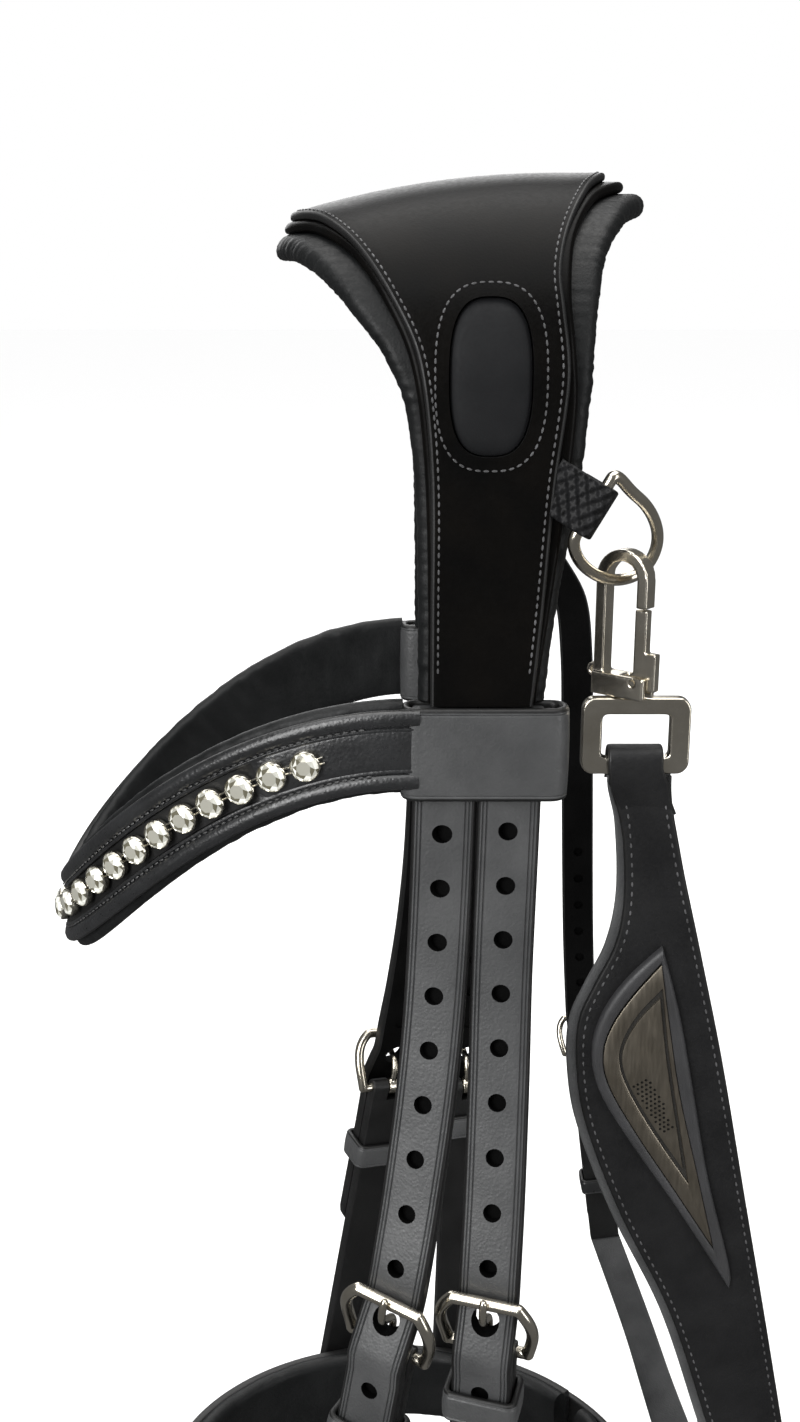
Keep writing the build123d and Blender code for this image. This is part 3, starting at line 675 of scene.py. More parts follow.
PADDING_FRONT = [(0, -48.5), (22, -43), (42, -35), (60, -27), (75, -19.5), (90, -14.5),
                 (110, -11.8), (140, -11), (168, -10.8)]
PADDING_REAR = [(0, 49), (22, 42.5), (42, 36.3), (60, 33.6), (75, 32.5), (90, 31.6),
                (110, 29.7), (140, 24.8), (168, 21.8)]
ROLL_FRONT = [(0, -46.2), (22, -36.8), (42, -26.8), (60, -19.3), (75, -13.8), (90, -11),
              (110, -9.2), (140, -8.4), (168, -8.3)]
ROLL_REAR = [(0, 43.5), (22, 34), (42, 27.8), (60, 26.3), (75, 27.3), (90, 28),
             (110, 26.4), (140, 22.7), (168, 19)]
LEATHER_FRONT = [(0, -44.6), (22, -35.5), (42, -26), (60, -17.9), (75, -12), (90, -9.4),
                 (110, -7.9), (140, -7.8), (168, -7.8)]
LEATHER_REAR = [(0, 38.5), (22, 32), (42, 25.9), (55, 23.8), (65, 24.4), (80, 25.8), (90, 25.3),
                (110, 22.9), (140, 20.7), (168, 18.2)]


def crown_layer(name, front, rear, shape, materials, wrinkle=0.0, step=1.0):
    """A layer over the poll; shape gives its profile from its half width."""
    rings, kinds = [], None
    count = round(2 * CROWN_END / step)
    for i in range(count + 1):
        s = -CROWN_END + 2 * CROWN_END * i / count
        x0, x1 = smooth(front, abs(s)), smooth(rear, abs(s))
        middle, half = (x0 + x1) / 2, (x1 - x0) / 2
        points, kinds = shape(half)
        ring = []
        for a, off in points:
            if wrinkle:
                near_edge = max(0.0, 1 - (half - abs(a)) / 7)
                fold = noise.noise(Vector((s * 0.55, math.copysign(3, a), a * 0.10)))
                a += math.copysign(wrinkle, a) * near_edge * fold
                off += wrinkle * 1.2 * near_edge * fold * (1 if off > 3 else -0.4)
            ring.append(on_arch(middle + a, s, off))
        rings.append(ring)
    return skin(name, rings, kinds, materials)


print("arch:", round(2 * ARCH_HALF_WIDTH), "mm wide and", round(ARCH_RISE), "mm high")

# %% Crown layers
padding = crown_layer("crown_padding_soft", PADDING_FRONT, PADDING_REAR,
                      lambda half: pillow(half, 0.0, 6.3, 0.0), [soft_hide], wrinkle=0.3, step=0.75)
roll = crown_layer("crown_edge_roll_turned", ROLL_FRONT, ROLL_REAR,
                   lambda half: pillow(half, 6.45, 9.35, 0.0), [crown_hide])
top_leather = crown_layer("crown_top_leather", LEATHER_FRONT, LEATHER_REAR,
                          lambda half: profile(half, 9.4, 11.6, corner=0.9, steps=12),
                          [crown_hide, edge_paint, crown_hide])
print("crown layers:", [len(o.data.polygons) for o in (padding, roll, top_leather)])

# %% [markdown]
# ## The oval windows
# Over each side of the poll the leather and the roll are cut away, and a padded insert stands
# in the window. The window is a real hole, cut with a boolean, because its inner wall catches
# the light. The insert is rings of points that shrink to the middle of a swelling form.

# %% Oval window and its raised pad
OVAL_X, OVAL_Z = 6.6, -38.5
OVAL_HALF = (10.3, 19.0)
OVAL_ROUND = 2.8            # above 2 the oval has straighter sides
PAD_GAP = 0.35
PAD_BACK, PAD_EDGE, PAD_SWELL = 6.8, 10.2, 1.5


def oval_point(turn, grow=0.0):
    """X and Z on the oval, grown outwards by some millimetres."""
    c, s = math.cos(turn), math.sin(turn)
    fit = (abs(c) ** OVAL_ROUND + abs(s) ** OVAL_ROUND) ** (-1 / OVAL_ROUND)
    return OVAL_X + (OVAL_HALF[0] + grow) * c * fit, OVAL_Z + (OVAL_HALF[1] + grow) * s * fit


def oval_cutter(count=64):
    """A rod with the oval's outline that goes through both sides of the headpiece."""
    rings = [[Vector((x, y, z)) for x, z in
              (oval_point(2 * math.pi * k / count) for k in range(count))] for y in (-80, 80)]
    return skin("window_cutter", rings, [0] * count, [edge_paint])


def cut(obj, cutter, keep=False):
    """Cut one closed shape out of another for good."""
    difference = obj.modifiers.new("cut", "BOOLEAN")
    difference.operation = "DIFFERENCE"
    difference.object = cutter
    difference.solver = "EXACT"
    difference.material_mode = "TRANSFER"
    bpy.context.view_layer.update()
    frozen(obj)
    obj.data.set_sharp_from_angle(angle=math.radians(38))
    if not keep:
        bpy.data.objects.remove(cutter)
    return obj


def poll_pad(side, rings=9, count=56):
    """Padded insert that stands a little proud in the window."""
    shape = bmesh.new()
    rows = []
    for r in range(rings + 1):
        rho = r / rings
        row = []
        for k in range(count):
            x, z = oval_point(2 * math.pi * k / count, -PAD_GAP)
            x, z = OVAL_X + (x - OVAL_X) * rho, OVAL_Z + (z - OVAL_Z) * rho
            off = PAD_EDGE + PAD_SWELL * math.sqrt(max(0.0, 1 - rho ** 5))
            s = side_y(x, z, off)
            row.append(on_arch(x, s * side, off))
        rows.append(row)
    rows.append([on_arch(x, side_y(x, z, PAD_BACK) * side, PAD_BACK) for x, z in
                 (oval_point(2 * math.pi * k / count, -PAD_GAP) for k in range(count))])
    skin_into(shape, rows, [0] * count)
    bmesh.ops.remove_doubles(shape, verts=shape.verts, dist=0.00002)
    return from_bmesh(("near" if side == NEAR else "far") + "_poll_pad_soft", shape, [pad_hide])


cutter = oval_cutter()
cut(roll, cutter, keep=True)
cut(top_leather, cutter)
dress(padding, "headpiece", "crown_padding")
dress(roll, "headpiece", "crown_edge_roll")
dress(top_leather, "headpiece", "crown_leather")
for side_name, side in SIDES.items():
    pad = poll_pad(side)
    dress(pad, "headpiece", side_name + "_poll_pad")
print("window cut and padded")

# %% [markdown]
# ## The headpiece's thread
# One seam runs inside each edge of the top leather, and one goes round each window. A seam is
# only its points and the way out of the leather there; the row tree does the rest.

# %% Crown seams
SEAM_IN = 1.9
SEAM_END = 156
SEAM_OFF = 11.66            # thread lies on the top leather's face
WINDOW_SEAM = 3.3


def seam_point(x, s):
    """A point of a seam on the top leather, and the way out of the leather there."""
    here = on_arch(x, s, SEAM_OFF)
    return here, (on_arch(x, s, SEAM_OFF + 1) - here).normalized()


def crown_seam(edge, inset):
    return [seam_point(smooth(edge, abs(s)) + inset, s) for s in range(-SEAM_END, SEAM_END + 1, 2)]


def oval_seam(side, count=96):
    row = []
    for k in range(count):
        x, z = oval_point(2 * math.pi * k / count, WINDOW_SEAM)
        row.append(seam_point(x, side_y(x, z, SEAM_OFF) * side))
    return row


sew("crown_edge_stitches", [crown_seam(LEATHER_FRONT, SEAM_IN), crown_seam(LEATHER_REAR, -SEAM_IN)],
    "headpiece", thread)
sew("window_stitches", [oval_seam(NEAR), oval_seam(FAR)], "headpiece", thread, closed=True)

# %% [markdown]
# ## Cheek and noseband straps
# Each side has two punched straps that hang from the headpiece and run through a buckle.
# Two lines are pressed along each edge. A strap's holes are cut, so light falls into them, and their walls
# carry painted shade.

# %% Strap frames
BILLET_WIDTH, BILLET_THICK = 16.5, 4.5
HOLE_R, TONGUE_HOLE_R, HOLE_PITCH = 2.5, 3.9, 15.0
HOLES_BELOW_Z = -150.5
HEEL = (-18.0, -4.0)
BILLET_RUN = [(6, 0), (-2.4, 0), (-6, 1.3), (-12, 3.5), (-18, 5.2), (-24, 3.6)]
TAIL_OUT = 3.6
TONGUE_HOLE_UP = -6.0


def strap_frame(origin, lean, turn):
    """Origin, rearward, up and outward directions on a hanging strap's face."""
    up = Vector(lean).normalized()
    out = Vector((-math.sin(math.radians(turn)), -math.cos(math.radians(turn)), 0))
    out = (out - up * out.dot(up)).normalized()
    return Vector(origin), up.cross(out), up, out


CHEEK = {"frame": strap_frame((-17.6, -73.0, -281.0), (0.17, -0.02, 1), 27.0), "k": 1.0,
         "keeper": -45.0, "tail": -72.0, "length": 172.0, "half": 8.2,
         "top": [(-4.05, -50.3, -121.5, 1), (-4.1, -50.3, -147, 2), (-6.0, -54.0, -195, 9),
                 (-8.7, -59.8, -225, 15), (-13.0, -67.4, -255, 21)]}
HANGER = {"frame": strap_frame((8.2, -73.0, -281.0), (0.03, 0.0, 1), 16.0), "k": 1.0,
          "keeper": -33.0, "tail": -72.0, "length": 150.0, "half": 8.2,
          "top": [(13.2, -50.3, -121.5, 1), (13.0, -50.3, -147, 1), (11.6, -54.0, -195, 6),
                  (10.8, -59.8, -225, 10), (9.6, -67.4, -255, 13)]}
THROAT = {"frame": strap_frame((47.5, -50.0, -262.0), (-0.13, 0, 1), 0.0), "k": 0.62,
          "keeper": -64.0, "tail": -78.0, "length": 86.0, "half": 8.2, "top_lean": (-0.05, 0, 1),
          "top": [(30.0, -47.9, -97, 0), (38.6, -50.0, -112, 0), (41.3, -50.0, -130, 0),
                  (42.4, -50.0, -155, 0), (45.0, -50.0, -225, 0)]}


def spot(strap, x, up, out):
    """Place in a strap's buckle frame, at cheek-buckle size."""
    origin, rearward, upward, outward = strap["frame"]
    return origin + (rearward * x + upward * up + outward * out) * strap["k"]


def billet_stations(strap):
    """The way of a punched strap, from the headpiece through its buckle to its tip."""
    _, rearward, _, outward = strap["frame"]
    stations = []
    for x, y, z, turn in strap["top"]:
        centre, across, _, out = strap_frame((x, y, z), strap.get("top_lean", (0, 0, 1)), turn)
        stations.append((centre, across, out, 1.0))
    for up, out in BILLET_RUN:
        stations.append((spot(strap, 0, up, out), rearward, outward, 1.0))
    stations.append((spot(strap, 0, strap["tail"] / strap["k"], TAIL_OUT), rearward, outward, 1.0))
    return stations


def with_tip(stations, strap):
    """The strap's end, narrowing in a round point."""
    _, rearward, upward, outward = strap["frame"]
    centre = stations[-1][0]
    reach = 7 * strap["k"]
    for degrees in (20, 40, 55, 68, 78, 86):
        t = math.radians(degrees)
        stations.append((centre - upward * reach * math.sin(t), rearward, outward, math.cos(t)))
    return stations


print("a cheek billet has", len(with_tip(billet_stations(CHEEK), CHEEK)), "chosen stations")

# %% [markdown]
# ## Punched billets
# A billet is a thick strap with two pressed lines by each edge and a row of holes up its
# middle. The holes are cut with one boolean per strap, because a painted dot shows no depth.
# Each hole stops at a thin film, and its walls and film are painted near-black as shade.
# The hole that the tongue goes through is worn wider than the others.

# %% Holes
def rod_into(shape, centre, axis, radius, length, side, count=20):
    """A closed cylinder in a bmesh, for cutting."""
    z = axis.normalized()
    x = z.orthogonal().normalized()
    y = z.cross(x)
    rings = []
    for end in (-length / 2, length / 2):
        rings.append([centre + z * end + (x * math.cos(t) + y * math.sin(t)) * radius
                      for t in (2 * math.pi * k / count for k in range(count))])
    skin_into(shape, rings, [0] * count, side)


def punch_into(shape, centre, axis, radius, thick, side):
    """A hole from each face of a strap whose face is at centre, with a thin film between; film and walls
    carry painted shade.
    """
    front = centre + axis.normalized() * (2.0 - thick * 0.29)
    back = centre + axis.normalized() * (-thick * 0.71 - 2.0)
    rod_into(shape, front, axis, radius, 4.0 + thick * 0.58 - 0.1, side)
    rod_into(shape, back, axis, radius, 4.0 + thick * 0.42 - 0.1, side)


def hole_places(strap, pitch, lowest_z):
    """Hole centres up the billet from its buckle, each with the way that it is punched."""
    origin, rearward, _, _ = strap["frame"]
    points = [Vector(p[:3]) for p in strap["top"]] + [origin]
    reach, walked, found = pitch * 0.6, 0.0, []
    for below, above in zip(reversed(points), reversed(points[:-1])):
        run = above - below
        while reach - walked < run.length:
            place = below + run * ((reach - walked) / run.length)
            if place.z > lowest_z:
                return found
            along = run.normalized()
            across = rearward - along * rearward.dot(along)
            found.append((place, across.cross(along)))
            reach += pitch
        walked += run.length
    return found


print("holes in a cheek billet above its buckle:", len(hole_places(CHEEK, HOLE_PITCH, HOLES_BELOW_Z)))

# %% Billets
def billet(name, strap, side, body, finish, pitch=HOLE_PITCH, lowest_z=HOLES_BELOW_Z):
    k = strap["k"]
    half = BILLET_WIDTH / 2 * k
    points, kinds = profile(half, -BILLET_THICK * k, 0, corner=0.9 * k,
                            lines=(1.5 * k, 2.5 * k), depth=0.4 * k, dome=0.35 * k)
    rings = []
    for centre, wide, out, narrow in with_tip(glide(billet_stations(strap), 2.5), strap):
        rings.append([centre + wide * a * narrow + out * b for a, b in points])
    strip = skin(name + "_creased", rings, kinds, [finish, edge_paint, edge_paint], side)
    punch = bmesh.new()
    outward = strap["frame"][3]
    rod_into(punch, spot(strap, 0, TONGUE_HOLE_UP, 0), outward, TONGUE_HOLE_R * k, 30 * k, side)
    punch_into(punch, spot(strap, 0, TONGUE_HOLE_UP - 22, TAIL_OUT), outward, HOLE_R * k,
               BILLET_THICK * k, side)
    for place, way in hole_places(strap, pitch, lowest_z):
        punch_into(punch, place, way, HOLE_R * k, BILLET_THICK * k, side)
    # The cut walls and the film left in each hole take the painted shade.
    cut(strip, from_bmesh("punch", punch, [hole_painted_shade]))
    return dress(strip, body, name)


for side_name, side in SIDES.items():
    for strap_name, strap in (("cheek", CHEEK), ("noseband", HANGER)):
        billet(f"{side_name}_{strap_name}_billet", strap, side, "headpiece", strap_hide)
billet("throat_billet", THROAT, FAR, body_of["throat_billet"], band_hide, pitch=9.6, lowest_z=-196)
print("billets punched")

# %% [markdown]
# ## Doubled straps below the buckles
# Below its buckle a strap is folded round the heel bar and sewn to itself, with a slot for
# the tongue. The cheekpiece ends in a second fold that holds the ring of the bit.

# %% Lower straps
FOLD_R = 3.0
LOWER_THICK = 4.6
BIT_R, BIT_WALL, BIT_DROP = 5.0, 3.4, 18.0
SLOT_HALF = (2.2, 4.5)


def lower_rings(strap):
    """A doubled strip from its fold down to its end, thicker at the fold."""
    k, half = strap["k"], strap["half"]
    length = strap["length"] / k
    ups = [HEEL[0] + FOLD_R * math.sin(math.radians(d)) for d in (88, 76, 62, 46, 28, 10)]
    ups += [HEEL[0] - d for d in (1, 2.5, 4.5, 8)]
    while ups[-1] > -length + 4:
        ups.append(ups[-1] - 4)
    ups.append(-length)
    rings, kinds = [], None
    for up in ups:
        above = up - HEEL[0]
        thick = math.sqrt(max(0.02, FOLD_R ** 2 - above ** 2)) if above > 0 else max(
            LOWER_THICK / 2, FOLD_R + above * 0.2)
        points, kinds = profile(half, -thick, thick, corner=0.8, lines=(1.3,), depth=0.3, dome=0.1)
        rings.append([spot(strap, a, up, HEEL[1] + b) for a, b in points])
    return rings, kinds


def bit_fold_rings(strap):
    """The strip that goes round the ring of the bit and back into the strap."""
    centre_up = -strap["length"] - BIT_DROP + 3
    middle = BIT_R + BIT_WALL / 2
    way = [(BIT_DROP, 1.15, 2.3), (BIT_DROP * 0.72, 2.2, 2.5), (BIT_DROP * 0.45, 4.9, 3.0)]
    way += [(-middle * math.sin(t), middle * math.cos(t), BIT_WALL)
            for t in (math.pi * k / 14 for k in range(15))]
    way += [(u, -o, thick) for u, o, thick in reversed(way[:3])]
    rings, kinds = [], None
    for i, (up, out, thick) in enumerate(way):
        before, after = way[max(0, i - 1)], way[min(len(way) - 1, i + 1)]
        along = Vector((after[0] - before[0], after[1] - before[1])).normalized()
        points, kinds = profile(strap["half"], -thick / 2, thick / 2, corner=0.8, steps=4)
        rings.append([spot(strap, a, centre_up + up - along.y * b, HEEL[1] + out + along.x * b)
                      for a, b in points])
    return rings, kinds


def lower_strap(name, strap, side, body, finish, bit=False):
    """A doubled strap with its tongue slot and its thread, and the fold for a bit if it has one."""
    finishes = [finish, edge_paint, edge_paint]
    obj = skin(name + "_doubled", *lower_rings(strap), finishes, side)
    slot = [[spot(strap, a * SLOT_HALF[0], HEEL[0] + u * SLOT_HALF[1], HEEL[1] + o)
             for a, u in ((-1, -1), (1, -1), (1, 1), (-1, 1))] for o in (-9, 9)]
    cut(obj, skin("slot", slot, [0] * 4, [edge_paint], side))
    if bit:
        loop = skin(name + "_bit_fold", *bit_fold_rings(strap), finishes, side)
        dress(loop, body, None)
    rows = []
    for x in (-strap["half"] + 2.1, strap["half"] - 2.1):
        row = []
        for i in range(30):
            up = HEEL[0] - 6 - (strap["length"] / strap["k"] + HEEL[0] - 12) * i / 29
            place = spot(strap, x, up, HEEL[1] + LOWER_THICK / 2 + 0.12)
            out = strap["frame"][3]
            row.append((Vector((place.x, side * place.y, place.z)), Vector((out.x, side * out.y, out.z))))
        rows.append(row)
    sew(name + "_stitches", rows, body, dark_thread, pitch=STITCH_PITCH * 1.2)
    return dress(obj, body, name)


for side_name, side in SIDES.items():
    lower_strap(side_name + "_cheek_strap", CHEEK, side, "headpiece", strap_hide, bit=True)
    lower_strap(side_name + "_noseband_strap", HANGER, side, "headpiece", strap_hide)
lower_strap("throat_buckle_strap", THROAT, FAR, body_of["throat_buckle_strap"], throat_hide)

# %% [markdown]
# ## Keepers
# A keeper is a narrow band that goes round both straps and slides along them. It is the same
# profile as a strap, but carried round a rectangle with rounded corners and joined to itself.

# %% Keepers
BILLET_EASE = 0.35
KEEPER_WALL = 1.7
KEEPER_HEIGHT = 9.0


def round_loop(x0, y0, x1, y1, radius, corner_steps=5):
    """Points and outward normals round a rectangle with rounded corners."""
    found = []
    for cx, cy, first in ((x1 - radius, y1 - radius, 0), (x0 + radius, y1 - radius, 90),
                          (x0 + radius, y0 + radius, 180), (x1 - radius, y0 + radius, 270)):
        for k in range(corner_steps + 1):
            t = math.radians(first + 90 * k / corner_steps)
            normal = Vector((math.cos(t), math.sin(t)))
            found.append((Vector((cx, cy)) + normal * radius, normal))
    return found


def keeper(name, strap, side, finish):
    low = HEEL[1] - LOWER_THICK / 2 - BILLET_EASE
    high = TAIL_OUT + BILLET_EASE
    half = BILLET_WIDTH / 2 + BILLET_EASE
    up = strap["keeper"] / strap["k"]
    points, kinds = profile(KEEPER_HEIGHT / 2, 0, KEEPER_WALL, corner=0.6, lines=(1.2,), depth=0.25,
                            dome=0.35, steps=4)
    rings = []
    for place, normal in round_loop(-half, low, half, high, 1.0):
        rings.append([spot(strap, place.x + normal.x * b, up + a, place.y + normal.y * b)
                      for a, b in points])
    loop = skin(name + "_loop", rings, kinds, [finish, edge_paint, edge_paint], side, closed=True)
    return dress(loop, name, name)


for side_name, side in SIDES.items():
    keeper(side_name + "_cheek_keeper", CHEEK, side, strap_hide)
    keeper(side_name + "_noseband_keeper", HANGER, side, strap_hide)
keeper("throat_keeper", THROAT, FAR, band_hide)
print("keepers looped")

# %% [markdown]
# ## The browband
# The band is half an ellipse seen from above, hanging a little lower at the forehead. Its
# leather is stitched down beside a sunk channel, and swells between the stitches and its edge.
# Its ends widen into loops that the headpiece's straps run through.

# %% Band way
BAND_START_X, BAND_LENGTH, BAND_HALF_WIDTH = -8.0, 108.0, 53.4
BAND_TOP_Z, BAND_DROOP = -131.5, 0.0059
BAND_THICK, BAND_HALF_HEIGHT = 2.4, 10.8
LINING_HALF, LINING_THICK = 12.6, 4.6
LOOP_Z, LOOP_X, LOOP_IN_Y = (-145.5, -120.5), (-15.4, 28.0), -42.9
CRYSTALS, CRYSTAL_PITCH = 25, 9.68


def band_point(t):
    a = math.radians(t)
    x = BAND_START_X - BAND_LENGTH * math.cos(a)
    return Vector((x, BAND_HALF_WIDTH * math.sin(a), BAND_TOP_Z - BAND_DROOP * (x + 12) ** 2))


def band_frame(t):
    """Place on the band's face, along it, up it and outwards; t is -90 to 90 degrees."""
    along = (band_point(t + 0.1) - band_point(t - 0.1)).normalized()
    out = -Vector((along.y, -along.x, 0)).normalized()
    return band_point(t), along, along.cross(out), out


def band_angles(reach, step):
    """Angles at equal lengths along the band, from the forehead to both sides."""
    found, walked, t = [0.0], 0.0, 0.0
    while t < reach:
        t += 0.05
        walked += (band_point(t) - band_point(t - 0.05)).length
        if walked >= step * len(found):
            found.append(t)
    return [-a for a in reversed(found[1:])] + found


print("middle of the browband:", [round(c, 1) for c in band_point(0)])

# %% Band leather and lining
CHANNEL_HALF = 5.1
CHANNEL_DEEP = 1.0
CHANNEL_END = 66.0
SEAM_AT = 6.3


def band_profile(sunk):
    """Half the height on each side: channel, seam groove, swelling and a rolled edge."""
    side_points = [(0.0, -sunk), (2.5, -sunk), (CHANNEL_HALF - 0.35, -sunk), (CHANNEL_HALF, -0.1),
                   (CHANNEL_HALF + 0.5, 0.12), (SEAM_AT - 0.4, 0.05), (SEAM_AT, -0.45),
                   (SEAM_AT + 0.4, 0.12), (SEAM_AT + 1.3, 0.62), (SEAM_AT + 2.4, 0.78),
                   (BAND_HALF_HEIGHT - 1.0, 0.5), (BAND_HALF_HEIGHT - 0.25, -0.15),
                   (BAND_HALF_HEIGHT, -1.0), (BAND_HALF_HEIGHT - 0.35, -2.0),
                   (BAND_HALF_HEIGHT - 1.0, -BAND_THICK), (4.0, -BAND_THICK)]
    points = [(-a, b) for a, b in reversed(side_points[1:])] + side_points
    kinds = [EDGE if max(abs(points[i][0]), abs(points[(i + 1) % len(points)][0])) > 10.7 else FACE
             for i in range(len(points))]
    return points, kinds


def band_piece(shape_at, reach, step):
    rings, kinds = [], None
    for t in [-reach] + band_angles(reach - 0.8, step) + [reach]:
        place, _, up, out = band_frame(t)
        points, kinds = shape_at(t)
        rings.append(carry(points, (place, up, out)))
    shape = bmesh.new()
    skin_into(shape, rings, kinds)
    return shape


def sunk_at(t):
    return CHANNEL_DEEP * min(1.0, max(0.0, (CHANNEL_END - abs(t)) / 3))


def shade_channel_floor(shape):
    """The floor of the channel takes the dark edge material, as painted shade in the sunk channel."""
    for face in shape.faces:
        if len(face.verts) == 4 and face.material_index == FACE:
            middle = face.calc_center_median() / MM
            t = math.degrees(math.atan2(middle.y / BAND_HALF_WIDTH, (BAND_START_X - middle.x) / BAND_LENGTH))
            place, _, up, out = band_frame(t)
            gap = middle - place
            if abs(t) < CHANNEL_END - 1 and abs(gap.dot(up)) < CHANNEL_HALF and gap.dot(out) > -1.6:
                face.material_index = EDGE


def end_loop(name, side):
    """The plain loop round the straps, as a closed strip on edge."""
    points, kinds = profile((LOOP_Z[1] - LOOP_Z[0]) / 2, 0, BAND_THICK, corner=1.0, dome=0.35,
                            lines=(1.6,), depth=0.25)
    middle = (LOOP_Z[0] + LOOP_Z[1]) / 2
    way = round_loop(LOOP_X[0] + BAND_THICK, -BAND_HALF_WIDTH + BAND_THICK, LOOP_X[1] - BAND_THICK,
                     LOOP_IN_Y - BAND_THICK, 2.2)
    rings = [[Vector((p.x + n.x * b, p.y + n.y * b, middle + a)) for a, b in points] for p, n in way]
    return skin(name, rings, kinds, [strap_hide, edge_paint, edge_paint], side, closed=True)


band_shape = band_piece(lambda t: band_profile(sunk_at(t)), 88.6, 2.5)
# Painted shade: the channel floor between the crystals is made dark.
shade_channel_floor(band_shape)
band = from_bmesh("browband_sewn_leather", band_shape, [band_hide, edge_paint])
dress(band, "headpiece", "browband_leather")
for side_name, side in SIDES.items():
    dress(end_loop(side_name + "_browband_loop", side), "headpiece", None)


def lining_profile(t):
    points, kinds = pillow(LINING_HALF, -BAND_THICK - 0.2 - LINING_THICK, -BAND_THICK - 0.15, 0.0)
    wrinkled = []
    for a, b in points:
        fold = noise.noise(Vector((t * 0.55, a * 0.12, 5.0)))
        soft = 1.0 if b < -4 or abs(a) > LINING_HALF - 2 else 0.2
        wrinkled.append((a * (1 + 0.012 * fold * soft), b + 0.45 * fold * soft))
    return wrinkled, kinds


lining_shape = band_piece(lining_profile, 86.5, 1.2)
lining = from_bmesh("browband_soft_lining", lining_shape, [soft_hide])
dress(lining, "headpiece", "browband_lining")


def band_seam(height, reach):
    row = []
    for t in band_angles(reach, 3.0):
        place, _, up, out = band_frame(t)
        row.append((place + up * height + out * 0.2, out))
    return row


sew("browband_stitches", [band_seam(SEAM_AT, 82), band_seam(-SEAM_AT, 82)], "headpiece", dark_thread,
    pitch=2.1)

# %% [markdown]
# ## Crystals
# Each crystal is a small brilliant cut in a silver cup. One cup and one stone are modelled with
# few faces, and the row tree sets them along the channel, so that all of them share one shape.

# %% Crystals in their cups
CUP_R, STONE_R = 4.1, 3.75


def cup_shape():
    """A silver cup with a scalloped rim and the two short links beside it."""
    shape = bmesh.new()
    sides = 24
    heights = [(CUP_R - 0.5, -0.6), (CUP_R, 0.2), (CUP_R, 1.5), (CUP_R - 0.3, 2.1), (STONE_R - 0.2, 1.9),
               (STONE_R - 0.4, 0.4), (1.0, 0.2)]
    rings = []
    for radius, height in heights:
        ring = []
        for k in range(sides):
            t = 2 * math.pi * k / sides
            lift = 0.3 * (k % 2) if height > 1.7 else 0.0
            ring.append(Vector((radius * math.cos(t), radius * math.sin(t), height - lift)))
        rings.append(ring)
    skin_into(shape, rings, [0] * sides)
    for x in (-1, 1):
        for y in (-0.8, 0.8):
            rod_into(shape, Vector((x * (CUP_R + 0.35), y, 0.7)), Vector((1, 0, 0)), 0.28, 1.5, NEAR, 6)
    return from_bmesh("cup", shape, [], sharp=50)


def stone_shape():
    """A brilliant cut: girdle, kites, star facets and table, each face with its own value for its painted
    reflection.
    """
    shape = bmesh.new()
    levels = [(STONE_R * 0.98, 1.2, 16, 0.0), (STONE_R, 1.7, 16, 0.0), (STONE_R * 0.8, 2.7, 8, 0.5),
              (STONE_R * 0.52, 3.2, 8, 0.0)]
    rings = []
    for radius, height, sides, twist in levels:
        rings.append([shape.verts.new(Vector((math.cos(t), math.sin(t), 0)) * radius * MM
                                      + Vector((0, 0, height * MM)))
                      for t in (2 * math.pi * (k + twist) / sides for k in range(sides))])
    for k in range(16):
        shape.faces.new((rings[0][k], rings[0][(k + 1) % 16], rings[1][(k + 1) % 16], rings[1][k]))
    for k in range(8):
        a, b, c = rings[1][2 * k], rings[1][2 * k + 1], rings[1][(2 * k + 2) % 16]
        here, following = rings[2][k], rings[2][(k + 1) % 8]
        shape.faces.new((a, b, here))
        shape.faces.new((b, c, here))
        shape.faces.new((c, following, here))
        shape.faces.new((here, following, rings[3][(k + 1) % 8]))
        shape.faces.new((rings[3][k], here, rings[3][(k + 1) % 8]))
    shape.faces.new(rings[3])
    shape.faces.new(list(reversed(rings[0])))
    obj = from_bmesh("stone", shape, [], sharp=1)
    random.seed(4)
    values = [random.random() for _ in obj.data.polygons]
    obj.data.attributes.new("facet", "FLOAT", "FACE").data.foreach_set("value", values)
    return obj


def crystal_row():
    """A line along the channel whose length is a whole number of pitches."""
    frames = [band_frame(t) for t in band_angles(84, CRYSTAL_PITCH)]
    spare = (len(frames) - CRYSTALS) // 2
    return [(place, out) for place, _, _, out in frames[spare:spare + CRYSTALS]]


cup, stone = cup_shape(), stone_shape()
row = crystal_row()
row_length = sum((b[0] - a[0]).length for a, b in zip(row, row[1:]))
spacing = row_length / (CRYSTALS - 1) * 0.9999
cups = set_in_rows("crystal_cup_row", [row], spacing, cup, silver)
stones = set_in_rows("crystal_row", [row], spacing, stone, crystal_glass)
dress(cups, "headpiece", "crystal_cups")
dress(stones, "headpiece", "crystals")
bpy.data.objects.remove(cup)
bpy.data.objects.remove(stone)
print("crystals:", len(row), "length", round(row_length, 1))

# %% [markdown]
# ## Ring, tab and snap
# The ring is one bent wire with a straight bar, held by a woven tab. The snap and its eye
# are castings, so their corners are all a little round: a copy of the plain casting is
# remeshed into small cells and then smoothed, which is what tumbling does to the metal.

# %% Castings
def casting(node, cell, rounds):
    """A smoothed copy of a plain CAD casting, that stands for it."""
    source = frame["nodes"][node]
    shape = bmesh.new()
    shape.from_mesh(source.data)
    bmesh.ops.remove_doubles(shape, verts=shape.verts, dist=0.000002)
    mesh = bpy.data.meshes.new(node + "_cast")
    shape.to_mesh(mesh)
    shape.free()
    obj = add_object(node + "_cast", mesh)
    cells = obj.modifiers.new("cells", "REMESH")
    cells.mode = "VOXEL"
    cells.voxel_size = cell * MM
    cells.use_smooth_shade = True
    tumbled = obj.modifiers.new("tumbled", "SMOOTH")
    tumbled.factor = 0.5
    tumbled.iterations = rounds
    bpy.context.view_layer.update()
    frozen(obj)
    obj.data.materials.clear()
    obj.data.materials.append(nickel)
    return dress(obj, body_of[node], node)


